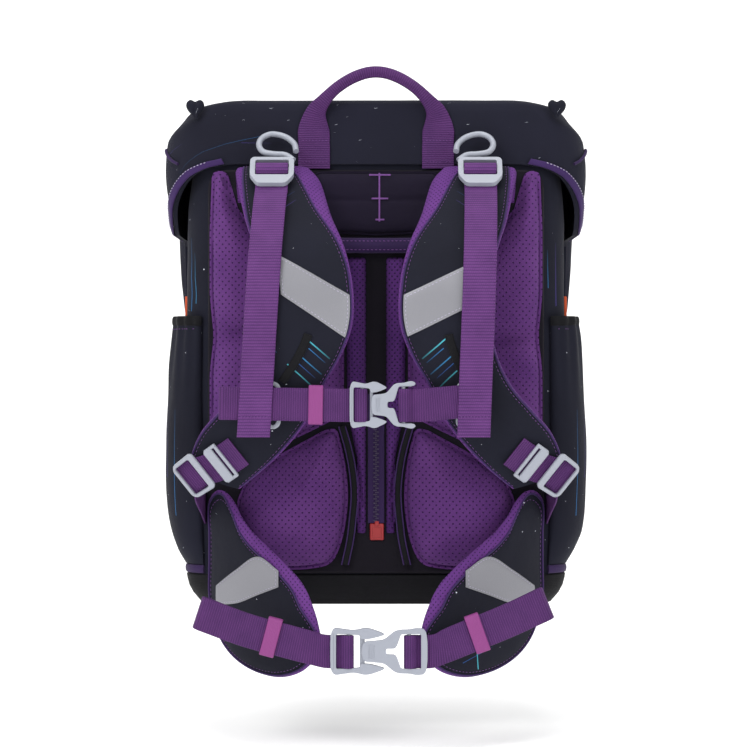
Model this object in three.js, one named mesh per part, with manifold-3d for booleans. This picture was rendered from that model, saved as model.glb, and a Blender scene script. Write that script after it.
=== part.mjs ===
// A school backpack with a hooded lid, padded back, shoulder straps and hip fins, in millimetres.
// The wearer's side faces -Y and +Z is up. Heights are measured from the bag's base while it is built,
// and the finished group is lowered so that the origin is the inner top of the carry handle.
import * as THREE from "three";
import { mergeVertices } from "three/addons/utils/BufferGeometryUtils.js";
import Module from "manifold-3d";

const wasm = await Module();
wasm.setup();

// Clearance and cloth
const GAP = 0.35;
const WEBBING_WIDTH = 25;
const WEBBING_THICK = 1.6;
const WEBBING_ROOM = WEBBING_WIDTH + 4 * GAP;

// Bag, boot, pockets and side tabs
const BAG_HALF_WIDTH = 150;
const BAG_DEPTH = 205;
const BAG_HEIGHT = 372;
const BAG_CORNER = 28;
const BAG_WALL = 3;
const BOOT_HEIGHT = 24;
const BOOT_WALL = 2;
const TRIM_HEIGHT = 7;
const TRIM_THICK = 3;
const POCKET_HEIGHT = 195;
const POCKET_BULGE = 16;
const POCKET_WALL = 2;
const POCKET_FRONT = 168;
const TAB_HEIGHT = 17;
const TAB_LENGTH = 34;
const TAB_THICK = 3;
const TAB_BACK = 52;

// Lid
const LID_TOP = 399;
const LID_HALF_WIDTH = 167;
const LID_WALL = 3;
const LID_BACK_RIM = 346.5;
const LID_SIDE_RIM = 293;
const LID_FRONT_RIM = 176;
const LID_ARCH_START = 119;
const LID_ARCH_LENGTH = 80;
const LID_CORNER = 30;
const LID_SLACK = 1;
const BINDING_WIDTH = 8;
const BINDING_THICK = 1.8;
const PIPING_THICK = 3;
const PIPING_LOW = 347.3;
const PIPING_HIGH = 360;
const KNOT_WIDTH = 15;
const KNOT_HEIGHT = 17;
const KNOT_THICK = 8;
const KNOT_INSET = 2.4;
const CLASP_WIDTH = 34;
const CLASP_HEIGHT = 22;
const CLASP_THICK = 7;

// Padded back
const BOARD_HALF_WIDTH = 132;
const BOARD_THICK = 5;
const BOARD_TOP = 342;
const BOARD_CORNER = 16;
const SIDE_PAD_THICK = 19;
const SIDE_PAD_CREASE = 211;
const LUMBAR_THICK = 26;
const YOKE_THICK = 9;
const NECK_THICK = 6;
const STRIP_THICK = 7;
const BEAD_WIDTH = 6.4;
const BEAD_THICK = 5;
const ZIP_WIDTH = 13;
const ZIP_THICK = 3;
const ZIP_TOP = 166;
const PULL_WIDTH = 11;
const PULL_HEIGHT = 13;
const PULL_THICK = 2;

// Carry handle
const HANDLE_SPREAD = 48.7;
const HANDLE_TOP = 423;
const HANDLE_FOOT = 343;
const HANDLE_FLAT = 1.8;
const HANDLE_ROLL = 9;

// Shoulder straps and what hangs on them
const STRAP_THICK = 12;
const STRAP_REACH = 90;
const REFLECTOR_THICK = 0.8;
const REFLECTOR_STAND = 0.9;
const CLIP_WIDTH = 12;
const CLIP_HEIGHT = 36;
const CLIP_THICK = 3;
const CHEST_HEIGHT = 158;
const CHEST_LAYERS = 2.8;
const TAIL_END = 134;
const HOOK_LEAN = 46;
const SLIDER_WIDTH = 34;
const SLIDER_THICK = 4;
const SLIDER_TOP = 13.5;
const SLIDER_RAIL = 3.5;
const SLIDER_LIP = 7.5;
const SLIDER_BOTTOM = 17.5;
const SLIDER_BAR = 0.6;
const HOOK_WIRE = 4.6;
const HOOK_WIDTH = 33;
const HOOK_HEIGHT = 30;

// Hip fins and belt
const FIN_ROOT = 131;
const FIN_SPAN = 89;
const FIN_THICK = 11;
const RIGHT_FIN_STRETCH = 1.1;
const KEEPER_WIDTH = 11;
const KEEPER_THICK = 1.3;
const BELT_LAYERS = 2.8;
const HIP_BUCKLE_LENGTH = 73;
const CHEST_BUCKLE_LENGTH = 50;
const BUCKLE_THICK = 5;
const BAR_RADIUS = 1.5;

const SIDES = { left: -1, right: 1 };

// Colours and finishes
const finishes = {
  shell: { color: 0x1b1c2c, roughness: 0.6, metalness: 0 },
  mesh: { color: 0x6f3a8c, roughness: 0.85, metalness: 0 },
  webbing: { color: 0x6a3783, roughness: 0.7, metalness: 0 },
  trim: { color: 0x4b2f6b, roughness: 0.75, metalness: 0 },
  buckle: { color: 0xc3c5cf, roughness: 0.45, metalness: 0 },
  reflector: { color: 0xb9b9bd, roughness: 0.35, metalness: 0.2 },
  keeper: { color: 0xa84f9f, roughness: 0.6, metalness: 0 },
  orange: { color: 0xe2571f, roughness: 0.6, metalness: 0 },
  red: { color: 0xb3231f, roughness: 0.6, metalness: 0 },
};
const materials = Object.fromEntries(
  Object.entries(finishes).map(([name, look]) => [name, new THREE.MeshStandardMaterial(look)]),
);

const bag = new THREE.Group();

// Adds a named sub-part to the bag.
function add(name, geometry, finish) {
  const mesh = new THREE.Mesh(geometry, materials[finish]);
  mesh.name = name;
  bag.add(mesh);
  return mesh;
}

const v3 = (x, y, z) => new THREE.Vector3(x, y, z);
const mix = (a, b, share) => a + (b - a) * share;

// A solid skinned over rings of equal, even point counts. Open ends are capped by pairing points across.
function loft(rings, closed = false) {
  const count = rings[0].length;
  const faces = [];
  const spans = closed ? rings.length : rings.length - 1;
  for (let r = 0; r < spans; r++) {
    const low = r * count;
    const high = ((r + 1) % rings.length) * count;
    for (let i = 0; i < count; i++) {
      const next = (i + 1) % count;
      faces.push([low + i, low + next, high + next], [low + i, high + next, high + i]);
    }
  }
  if (!closed) {
    const end = (rings.length - 1) * count;
    for (let i = 0; i < count / 2 - 1; i++) {
      const far = count - 1 - i;
      faces.push([i, far, i + 1], [i + 1, far, far - 1]);
      faces.push([end + i, end + i + 1, end + far], [end + i + 1, end + far - 1, end + far]);
    }
  }
  const points = rings.flat();
  const volume = faces.reduce((sum, [a, b, c]) => {
    const across = new THREE.Vector3().crossVectors(points[b], points[c]);
    return sum + points[a].dot(across);
  }, 0);
  const index = volume < 0 ? faces.map(([a, b, c]) => [a, c, b]) : faces;
  const geometry = new THREE.BufferGeometry().setFromPoints(points);
  geometry.setIndex(index.flat());
  geometry.computeVertexNormals();
  return geometry;
}

// Between a geometry and a solid that can be joined and cut
function solidOf(geometry) {
  const bare = geometry.clone();
  bare.deleteAttribute("normal");
  bare.deleteAttribute("uv");
  const merged = mergeVertices(bare, 1e-4);
  return new wasm.Manifold(
    new wasm.Mesh({
      numProp: 3,
      vertProperties: merged.attributes.position.array,
      triVerts: new Uint32Array(merged.index.array),
    }),
  );
}

function geometryOf(solid) {
  const mesh = solid.getMesh();
  const geometry = new THREE.BufferGeometry();
  geometry.setAttribute("position", new THREE.BufferAttribute(mesh.vertProperties, 3));
  geometry.setIndex(new THREE.BufferAttribute(mesh.triVerts, 1));
  geometry.computeVertexNormals();
  return geometry;
}

const join = (...geometries) =>
  geometryOf(geometries.map(solidOf).reduce((whole, piece) => whole.add(piece)));

const cut = (body, ...tools) =>
  geometryOf(tools.map(solidOf).reduce((rest, tool) => rest.subtract(tool), solidOf(body)));

// Flat piece with an outline of x and z pairs, between two depths
function slab(outline, front, back) {
  const shape = new THREE.Shape(outline.map(([x, z]) => new THREE.Vector2(x, z)));
  const geometry = new THREE.ExtrudeGeometry(shape, { depth: back - front, bevelEnabled: false });
  geometry.rotateX(Math.PI / 2);
  geometry.translate(0, back, 0);
  return geometry;
}

const box = (width, depth, height, x, y, z) => new THREE.BoxGeometry(width, depth, height).translate(x, y, z);

// A round rod along a curve that stays in one upright plane facing Y
function uprightRod(curve, radius, steps) {
  const rings = Array.from({ length: steps + 1 }, (_, i) => {
    const centre = curve.getPoint(i / steps);
    const along = curve.getTangent(i / steps);
    const across = v3(along.z, 0, -along.x);
    return Array.from({ length: 8 }, (_, k) => {
      const angle = (k / 8) * 2 * Math.PI;
      const point = centre.clone().addScaledVector(across, radius * Math.cos(angle));
      return point.add(v3(0, radius * Math.sin(angle), 0));
    });
  });
  return loft(rings);
}

// Value of one column of a table at a place along another, straight between rows
function readTable(rows, key, place, column) {
  const last = rows.length - 1;
  const next = rows.findIndex((row) => row[key] >= place);
  if (next === -1) return rows[last][column];
  if (next === 0) return rows[0][column];
  const [a, b] = [rows[next - 1], rows[next]];
  return mix(a[column], b[column], (place - a[key]) / (b[key] - a[key]));
}

// Bag shape: heights as shares of its height, widths of its half width, back and front of its depth
const BAG_ROWS = [
  { up: 0.0, wide: 0.915, back: 0.04, front: 0.96 },
  { up: 0.035, wide: 0.975, back: 0.008, front: 0.99 },
  { up: BOOT_HEIGHT / BAG_HEIGHT, wide: 0.99, back: 0.0, front: 1.0 },
  { up: 0.3, wide: 1.005, back: 0.0, front: 1.0 },
  { up: 0.8, wide: 1.0, back: 0.0, front: 1.0 },
  { up: 1.0, wide: 0.945, back: 0.0, front: 0.99 },
];
const CORNER_STEPS = 6;
const BESIDE_BOARD = 2;

function bagSection(z) {
  const up = z / BAG_HEIGHT;
  return {
    wide: BAG_HALF_WIDTH * readTable(BAG_ROWS, "up", up, "wide"),
    back: BAG_DEPTH * readTable(BAG_ROWS, "up", up, "back"),
    front: BAG_DEPTH * readTable(BAG_ROWS, "up", up, "front"),
    corner: BAG_CORNER,
  };
}

// Heights at which the bag's shape changes, between two limits that are kept
function bagLevels(low, high) {
  const inside = BAG_ROWS.map((row) => row.up * BAG_HEIGHT).filter((z) => z > low + 1 && z < high - 1);
  return [low, ...inside, high];
}

// Quarter circle round a corner, from one angle to the next
function cornerArc(x, y, radius, from) {
  return Array.from({ length: CORNER_STEPS + 1 }, (_, i) => {
    const angle = from + (i / CORNER_STEPS) * (Math.PI / 2);
    return { x: x + radius * Math.cos(angle), y: y + radius * Math.sin(angle), angle };
  });
}

// Points round a section grown outwards, from the left back corner over the front to the right back corner
function sectionWalk({ wide, back, front, corner }, grow) {
  const radius = corner + grow;
  const inX = wide - corner;
  const backY = back + corner;
  const frontY = front - corner;
  const corners = [
    ...cornerArc(inX, backY, radius, -Math.PI / 2),
    ...cornerArc(inX, frontY, radius, 0),
    ...cornerArc(-inX, frontY, radius, Math.PI / 2),
    ...cornerArc(-inX, backY, radius, Math.PI),
  ];
  return corners.reverse();
}

const ringOf = (section, grow, z) => sectionWalk(section, grow).map((p) => v3(p.x, p.y, z));

function buildShell() {
  const floor = BOOT_WALL + GAP;
  const outer = bagLevels(floor, BAG_HEIGHT).map((z) => ringOf(bagSection(z), 0, z));
  const inner = bagLevels(floor + BAG_WALL, BAG_HEIGHT).map((z) => ringOf(bagSection(z), -BAG_WALL, z));
  add("bag_shell", loft([...outer, ...inner.reverse()]), "shell");
}

function buildBoot() {
  const grown = BOOT_WALL + GAP;
  const outer = bagLevels(0, BOOT_HEIGHT).map((z) => ringOf(bagSection(z), grown, z));
  const inner = bagLevels(BOOT_WALL, BOOT_HEIGHT).map((z) => ringOf(bagSection(z), GAP, z));
  add("base_boot", loft([...outer, ...inner.reverse()]), "shell");
}

// A wall of cloth that follows the bag from beside the board, over a stretch of the walk round it
function bagBand(levels, pick, outwards, thick, side = 1) {
  const rings = levels.map((z, level) => {
    const section = bagSection(z);
    const walk = sectionWalk(section, 0);
    const path = pick(walk.slice(BESIDE_BOARD, walk.length - BESIDE_BOARD), section);
    const reach = path.map((p, i) => GAP + outwards(i / (path.length - 1), level / (levels.length - 1)));
    const at = (p, out) => v3(side * (p.x + out * Math.cos(p.angle)), p.y + out * Math.sin(p.angle), z);
    const outside = path.map((p, i) => at(p, reach[i] + thick));
    const inside = path.map((p, i) => at(p, reach[i]));
    return [...outside, ...inside.reverse()];
  });
  return loft(rings);
}

function buildBaseTrim() {
  const low = BOOT_HEIGHT + GAP;
  const levels = [low, low + TRIM_HEIGHT];
  add("base_trim", bagBand(levels, (path) => path, () => 0, TRIM_THICK), "trim");
}

// Side pocket: the share of its bulge at each share of its height
const POCKET_ROWS = [
  { up: 0.0, bulge: 0.0 },
  { up: 0.12, bulge: 0.72 },
  { up: 0.4, bulge: 1.0 },
  { up: 0.7, bulge: 0.8 },
  { up: 0.92, bulge: 0.62 },
  { up: 1.0, bulge: 0.5 },
];
const POCKET_SIDE_STEPS = 7;

function buildPocket(name, side) {
  const low = BOOT_HEIGHT + TRIM_HEIGHT + 2 * GAP;
  const levels = POCKET_ROWS.map((row) => low + row.up * POCKET_HEIGHT);
  // Round the back corner, and along the side as far as the pocket's front seam
  const pick = (path, section) => {
    const back = path.slice(0, CORNER_STEPS + 1 - BESIDE_BOARD);
    const last = back[back.length - 1];
    const along = Array.from({ length: POCKET_SIDE_STEPS }, (_, i) => ({
      x: last.x,
      y: mix(last.y, Math.min(POCKET_FRONT, section.front - section.corner), (i + 1) / POCKET_SIDE_STEPS),
      angle: Math.PI,
    }));
    return [...back, ...along];
  };
  const bulge = (around, up) => {
    const row = POCKET_ROWS[Math.round(up * (POCKET_ROWS.length - 1))];
    return POCKET_BULGE * row.bulge * Math.sin(Math.PI * around) ** 0.6;
  };
  add(`side_pocket_${name}`, bagBand(levels, pick, bulge, POCKET_WALL, -side), "shell");
}

function buildSideTab(name, side) {
  const low = BOOT_HEIGHT + TRIM_HEIGHT + POCKET_HEIGHT + 4 * GAP;
  const inner = Math.max(bagSection(low).wide, bagSection(low + TAB_HEIGHT).wide) + GAP;
  const middle = [side * (inner + TAB_THICK / 2), TAB_BACK + TAB_LENGTH / 2, low + TAB_HEIGHT / 2];
  add(`side_tab_${name}`, box(TAB_THICK, TAB_LENGTH, TAB_HEIGHT, ...middle), "orange");
}

// Lid: how far each row drops towards the rim, and its width, back and front beyond the bag
const LID_ROWS = [
  { drop: 0.0, wide: 0.4, back: 0.3, front: 0.7, corner: 0.4 },
  { drop: 0.035, wide: 0.76, back: 0.03, front: 0.985, corner: 0.75 },
  { drop: 0.11, wide: 0.872, back: 0.005, front: 1.0, corner: 0.85 },
  { drop: 0.22, wide: 0.925, back: 0.0, front: 1.0, corner: 1.0 },
  { drop: 0.4, wide: 0.99, back: 0.0, front: 1.0, corner: 1.0 },
  { drop: 0.62, wide: 1.0, back: 0.0, front: 1.0, corner: 1.0 },
  { drop: 0.85, wide: 0.99, back: 0.0, front: 1.0, corner: 1.0 },
  { drop: 1.0, wide: 0.965, back: 0.0, front: 1.0, corner: 1.0 },
];
const LID_SIDE_STEPS = 7;

// Height of the lid's lower edge: high behind, an arch over the back corner, lower at the side and front
function lidRim(x, y) {
  const travel = Math.max(0, Math.abs(x) - LID_ARCH_START) + 0.9 * Math.max(0, y);
  const arch = Math.min(1, travel / LID_ARCH_LENGTH) ** 1.6;
  const behind = mix(LID_BACK_RIM, LID_SIDE_RIM, arch);
  const before = THREE.MathUtils.smoothstep(y, BAG_DEPTH * 0.8, BAG_DEPTH);
  return mix(behind, LID_FRONT_RIM, before);
}

function lidSection(row) {
  const back = -(GAP + LID_WALL);
  const front = BAG_DEPTH + GAP + LID_WALL + LID_SLACK;
  return {
    wide: LID_HALF_WIDTH * row.wide,
    back: mix(back, front, row.back),
    front: mix(back, front, row.front),
    corner: LID_CORNER * row.corner,
  };
}

// One ring of the lid; depth is how far it lies inside the outer face
function lidRing(row, depth) {
  const rimRow = LID_ROWS[LID_ROWS.length - 1];
  const outline = lidWalk(lidSection(row), -depth);
  const rimOutline = lidWalk(lidSection(rimRow), 0);
  return outline.map((p, i) => {
    const rim = lidRim(rimOutline[i].x, rimOutline[i].y);
    const top = LID_TOP - depth;
    return v3(p.x, p.y, Math.min(top, mix(LID_TOP, rim, row.drop)));
  });
}

// The walk round the lid has points along its sides too, for the arch of its rim
function lidWalk(section, grow) {
  const walk = sectionWalk(section, grow);
  const steps = CORNER_STEPS + 1;
  const between = (a, b) =>
    Array.from({ length: LID_SIDE_STEPS }, (_, i) => {
      const share = (i + 1) / (LID_SIDE_STEPS + 1);
      return { x: mix(a.x, b.x, share), y: mix(a.y, b.y, share), angle: b.angle };
    });
  const [first, second, third, fourth] = [0, 1, 2, 3].map((k) => walk.slice(k * steps, (k + 1) * steps));
  return [
    ...first,
    ...between(first[steps - 1], second[0]),
    ...second,
    ...third,
    ...between(third[steps - 1], fourth[0]),
    ...fourth,
  ];
}

function buildLid() {
  const outer = LID_ROWS.map((row) => lidRing(row, 0));
  const inner = LID_ROWS.map((row) => lidRing(row, LID_WALL));
  add("lid", loft([...outer, ...inner.reverse()]), "shell");
}

// A row of the lid at any drop between the ones listed
function lidRowAt(drop) {
  const read = (column) => readTable(LID_ROWS, "drop", drop, column);
  return { drop, wide: read("wide"), back: read("back"), front: read("front"), corner: read("corner") };
}

// Walk places on one side of the lid, from the middle of the back towards the front
function lidSideRing(drop, side, lift) {
  const steps = CORNER_STEPS + 1;
  const count = steps + LID_SIDE_STEPS;
  const section = lidSection(lidRowAt(drop));
  const walk = lidWalk(section, lift).slice(0, count);
  const ring = lidRing(lidRowAt(drop), 0).slice(0, count);
  return walk.map((p, i) => v3(-side * p.x, p.y, ring[i].z));
}

// Binding sewn round the arch of the lid's side, just above its rim
function buildLidBinding(name, side) {
  const rimLength = LID_BACK_RIM - LID_SIDE_RIM;
  const high = 1 - BINDING_WIDTH / (rimLength + BINDING_WIDTH * 3);
  const faces = [2 * GAP, 2 * GAP + BINDING_THICK].map((lift) => [
    lidSideRing(1, side, lift),
    lidSideRing(high, side, lift),
  ]);
  const [[lowIn, highIn], [lowOut, highOut]] = faces;
  const rings = lowIn.map((_, i) => [lowIn[i], highIn[i], highOut[i], lowOut[i]]);
  const start = rings[0].map((p) => v3(side * LID_ARCH_START, p.y, p.z));
  add(`lid_binding_${name}`, loft([start, ...rings]), "trim");
}

// Piping that rises from the binding at the back corner and runs along the lid's side
function buildLidPiping(name, side) {
  const rim = lidSideRing(1, side, 0);
  const place = (i, lift, below) => {
    const risen = THREE.MathUtils.smoothstep(i, 2, CORNER_STEPS);
    const height = mix(PIPING_LOW, PIPING_HIGH, risen) - below;
    const drop = (LID_TOP - height) / (LID_TOP - rim[i].z);
    return lidSideRing(drop, side, lift)[i];
  };
  const [near, far] = [4 * GAP, 4 * GAP + PIPING_THICK];
  const rings = rim.map((_, i) => [
    place(i, near, 0),
    place(i, far, 0),
    place(i, far, PIPING_THICK),
    place(i, near, PIPING_THICK),
  ]);
  add(`lid_piping_${name}`, loft(rings.slice(2)), "trim");
}

// A pad whose rings shrink towards the middle of its outline while they rise to its crown
const PAD_CROWN = [
  { size: 0.985, rise: 0 },
  { size: 1.0, rise: 0.22 },
  { size: 0.965, rise: 0.5 },
  { size: 0.86, rise: 0.77 },
  { size: 0.66, rise: 0.93 },
  { size: 0.4, rise: 1 },
  { size: 0.14, rise: 1 },
];

function middleOf(outline) {
  const sum = outline.reduce((total, [x, z]) => [total[0] + x, total[1] + z], [0, 0]);
  return sum.map((value) => value / outline.length);
}

// Outline through the points of a closed curve, as pairs of x and z
function smoothOutline(points, count, tension = 0.5) {
  const curve = new THREE.CatmullRomCurve3(
    points.map(([x, z]) => v3(x, 0, z)),
    true,
    "catmullrom",
    tension,
  );
  return curve.getSpacedPoints(count).slice(0, count).map((p) => [p.x, p.z]);
}

function pad(outline, place, middle = middleOf(outline)) {
  const rings = PAD_CROWN.map(({ size, rise }) =>
    outline.map(([x, z]) => {
      const px = mix(middle[0], x, size);
      const pz = mix(middle[1], z, size);
      return place(px, pz, rise);
    }),
  );
  return loft(rings);
}

const BOARD_BOTTOM = BOOT_HEIGHT + 1;
const BOARD_FRONT = GAP + BOARD_THICK;
const SEAT = BOARD_FRONT + GAP;

function buildBoard() {
  const shape = new THREE.Shape();
  const [w, r] = [BOARD_HALF_WIDTH, BOARD_CORNER];
  shape.moveTo(-w + r, BOARD_BOTTOM);
  shape.lineTo(w - r, BOARD_BOTTOM);
  shape.quadraticCurveTo(w, BOARD_BOTTOM, w, BOARD_BOTTOM + r);
  shape.lineTo(w, BOARD_TOP - r);
  shape.quadraticCurveTo(w, BOARD_TOP, w - r, BOARD_TOP);
  shape.lineTo(-w + r, BOARD_TOP);
  shape.quadraticCurveTo(-w, BOARD_TOP, -w, BOARD_TOP - r);
  shape.lineTo(-w, BOARD_BOTTOM + r);
  shape.quadraticCurveTo(-w, BOARD_BOTTOM, -w + r, BOARD_BOTTOM);
  const geometry = new THREE.ExtrudeGeometry(shape, {
    depth: BOARD_THICK,
    bevelEnabled: false,
    curveSegments: 4,
  });
  geometry.rotateX(Math.PI / 2);
  geometry.translate(0, -GAP, 0);
  add("back_board", geometry, "shell");
}

const onBoard = (thick) => (x, z, rise) => v3(x, -(SEAT + thick * rise), z);

// Outlines of the pads on the board: out is a share of its half width, up of its height
const SIDE_PAD_OUTLINE = [
  { out: 0.975, up: 0.997 },
  { out: 0.885, up: 0.997 },
  { out: 0.85, up: 0.945 },
  { out: 0.84, up: 0.912 },
  { out: 0.76, up: 0.875 },
  { out: 0.675, up: 0.832 },
  { out: 0.52, up: 0.806 },
  { out: 0.48, up: 0.785 },
  { out: 0.3, up: 0.783 },
  { out: 0.195, up: 0.783 },
  { out: 0.19, up: 0.7 },
  { out: 0.19, up: 0.587 },
  { out: 0.19, up: 0.48 },
  { out: 0.2, up: 0.392 },
  { out: 0.34, up: 0.362 },
  { out: 0.6, up: 0.31 },
  { out: 0.83, up: 0.262 },
  { out: 0.94, up: 0.238 },
  { out: 0.985, up: 0.26 },
  { out: 0.99, up: 0.4 },
  { out: 0.99, up: 0.5 },
  { out: 0.965, up: 0.587 },
  { out: 0.99, up: 0.69 },
  { out: 0.99, up: 0.85 },
];
const LUMBAR_OUTLINE = [
  { out: 0.232, up: 0.36 },
  { out: 0.205, up: 0.318 },
  { out: 0.178, up: 0.265 },
  { out: 0.164, up: 0.2 },
  { out: 0.172, up: 0.14 },
  { out: 0.2, up: 0.08 },
  { out: 0.26, up: 0.02 },
  { out: 0.45, up: 0.008 },
  { out: 0.67, up: 0.012 },
  { out: 0.79, up: 0.045 },
  { out: 0.84, up: 0.11 },
  { out: 0.83, up: 0.18 },
  { out: 0.77, up: 0.235 },
  { out: 0.62, up: 0.285 },
  { out: 0.44, up: 0.325 },
  { out: 0.3, up: 0.357 },
];
const STRIP_ROWS = [
  { up: 0.782, out: 0.174 },
  { up: 0.6, out: 0.174 },
  { up: 0.42, out: 0.172 },
  { up: 0.352, out: 0.145 },
  { up: 0.262, out: 0.106 },
  { up: 0.198, out: 0.092 },
  { up: 0.13, out: 0.104 },
  { up: 0.1, out: 0.115 },
];
const STRIP_INNER = 0.06;
const boardX = (out, side) => side * out * BOARD_HALF_WIDTH;
const boardZ = (up) => mix(BOARD_BOTTOM, BOARD_TOP, up);
const boardOutline = (rows, side) => rows.map((row) => [boardX(row.out, side), boardZ(row.up)]);

function buildSidePad(name, side) {
  const outline = boardOutline(SIDE_PAD_OUTLINE, side);
  const crease = (z) => 1 - 0.55 * Math.exp(-(((z - SIDE_PAD_CREASE) / 9) ** 2));
  const place = (x, z, rise) => v3(x, -(SEAT + SIDE_PAD_THICK * rise * crease(z)), z);
  const middle = [boardX(0.6, side), SIDE_PAD_CREASE];
  add(`side_pad_${name}`, pad(outline, place, middle), "mesh");
}

function buildLumbarPad(name, side) {
  const outline = boardOutline(LUMBAR_OUTLINE, side);
  const middle = [boardX(0.47, side), boardZ(0.17)];
  add(`lumbar_pad_${name}`, pad(outline, onBoard(LUMBAR_THICK), middle), "mesh");
}

function buildSpineStrip(name, side) {
  const middle = boardZ(0.44);
  const ring = (inset, rise) => {
    const at = (x, z, towards) =>
      v3(side * (x + towards * inset), -(SEAT + STRIP_THICK * rise), z + Math.sign(middle - z) * inset * 0.7);
    const outer = STRIP_ROWS.map((row) => at(row.out * BOARD_HALF_WIDTH, boardZ(row.up), -1));
    const inner = STRIP_ROWS.map((row) => at(STRIP_INNER * BOARD_HALF_WIDTH, boardZ(row.up), 0.3));
    return [...outer, ...inner.reverse()];
  };
  add(`spine_strip_${name}`, loft([ring(0.4, 0), ring(0, 0.3), ring(0.9, 0.8), ring(2, 1)]), "mesh");
}

// Raised dark bead beside the lumbar pad
const BEAD_ROWS = [
  { out: 0.202, up: 0.364 },
  { out: 0.165, up: 0.31 },
  { out: 0.142, up: 0.262 },
  { out: 0.128, up: 0.198 },
  { out: 0.14, up: 0.13 },
  { out: 0.155, up: 0.08 },
  { out: 0.185, up: 0.022 },
];

function buildLumbarBead(name, side) {
  const curve = new THREE.CatmullRomCurve3(
    BEAD_ROWS.map((row) => v3(boardX(row.out, side), -SEAT, boardZ(row.up))),
  );
  const steps = 12;
  const half = BEAD_WIDTH / 2;
  const rings = Array.from({ length: steps + 1 }, (_, i) => {
    const centre = curve.getPoint(i / steps);
    const along = curve.getTangent(i / steps);
    const across = v3(along.z, 0, -along.x);
    const at = (over, rise) => {
      const lifted = centre.clone().add(v3(0, -BEAD_THICK * rise, 0));
      return lifted.addScaledVector(across, over * half);
    };
    return [at(-1, 0), at(-1, 0.5), at(-0.5, 1), at(0.5, 1), at(1, 0.5), at(1, 0)];
  });
  add(`lumbar_bead_${name}`, loft(rings), "trim");
}

const YOKE_LOW = 0.792;
const YOKE_HIGH = 0.832;
const YOKE_OUT = 0.455;

function buildYoke() {
  const steps = 9;
  const row = (up, sag, from, to) =>
    Array.from({ length: steps }, (_, i) => {
      const across = mix(from, to, i / (steps - 1));
      return [across * YOKE_OUT * BOARD_HALF_WIDTH, boardZ(up) - sag * (1 - across * across)];
    });
  const outline = [...row(YOKE_HIGH, 2, -1, 1), ...row(YOKE_LOW, 0, 1, -1)];
  const ring = (inset, rise) => {
    const middle = boardZ((YOKE_LOW + YOKE_HIGH) / 2);
    return outline.map(([x, z]) =>
      v3(x * (1 - inset / 60), -(SEAT + YOKE_THICK * rise), z + Math.sign(middle - z) * inset),
    );
  };
  add("harness_yoke", loft([ring(0.4, 0), ring(0, 0.35), ring(1.6, 0.85), ring(4, 1)]), "trim");
}

function buildNeckPanel() {
  const outline = [
    [-0.375, 0.996],
    [0, 0.996],
    [0.375, 0.996],
    [0.385, 0.93],
    [0.39, 0.845],
    [0.2, 0.838],
    [0, 0.836],
    [-0.2, 0.838],
    [-0.39, 0.845],
    [-0.385, 0.93],
  ].map(([out, up]) => [out * BOARD_HALF_WIDTH, boardZ(up)]);
  add("neck_panel", pad(outline, onBoard(NECK_THICK)), "shell");
}

// Closed zip down the middle of the back, and the red pull on its end
function buildZip() {
  const low = boardZ(0.125);
  const tape = new THREE.BoxGeometry(ZIP_WIDTH, ZIP_THICK / 2, ZIP_TOP - low);
  tape.translate(0, -(SEAT + ZIP_THICK / 4), (ZIP_TOP + low) / 2);
  const coil = new THREE.BoxGeometry(ZIP_WIDTH / 3, ZIP_THICK / 2 + 0.2, ZIP_TOP - low - 2);
  coil.translate(0, -(SEAT + ZIP_THICK * 0.75 - 0.1), (ZIP_TOP + low) / 2);
  add("spine_zip", join(tape, coil), "webbing");
  const pull = add("zip_pull", new THREE.BoxGeometry(PULL_WIDTH, PULL_THICK, PULL_HEIGHT), "red");
  pull.position.set(PULL_WIDTH * 0.06, -(SEAT + PULL_THICK / 2), low - GAP - PULL_HEIGHT / 2);
}

// Carry handle: flat webbing on the lid's skirt that rolls into a tube over the top.
// across is a share of the spread, up of the height, roll is 0 where flat and 1 where rolled.
const HANDLE_ROWS = [
  { across: 1.0, up: 0.0, roll: 0 },
  { across: 1.0, up: 0.25, roll: 0 },
  { across: 1.0, up: 0.48, roll: 0.05 },
  { across: 0.955, up: 0.6, roll: 0.35 },
  { across: 0.83, up: 0.71, roll: 0.8 },
  { across: 0.64, up: 0.83, roll: 1 },
  { across: 0.4, up: 0.93, roll: 1 },
  { across: 0.18, up: 0.985, roll: 1 },
];

const HANDLE_DEPTH = GAP + LID_WALL + GAP + HANDLE_FLAT / 2;
const HANDLE_CENTRE_Y = -(HANDLE_DEPTH + HANDLE_ROLL * 0.42);

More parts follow.
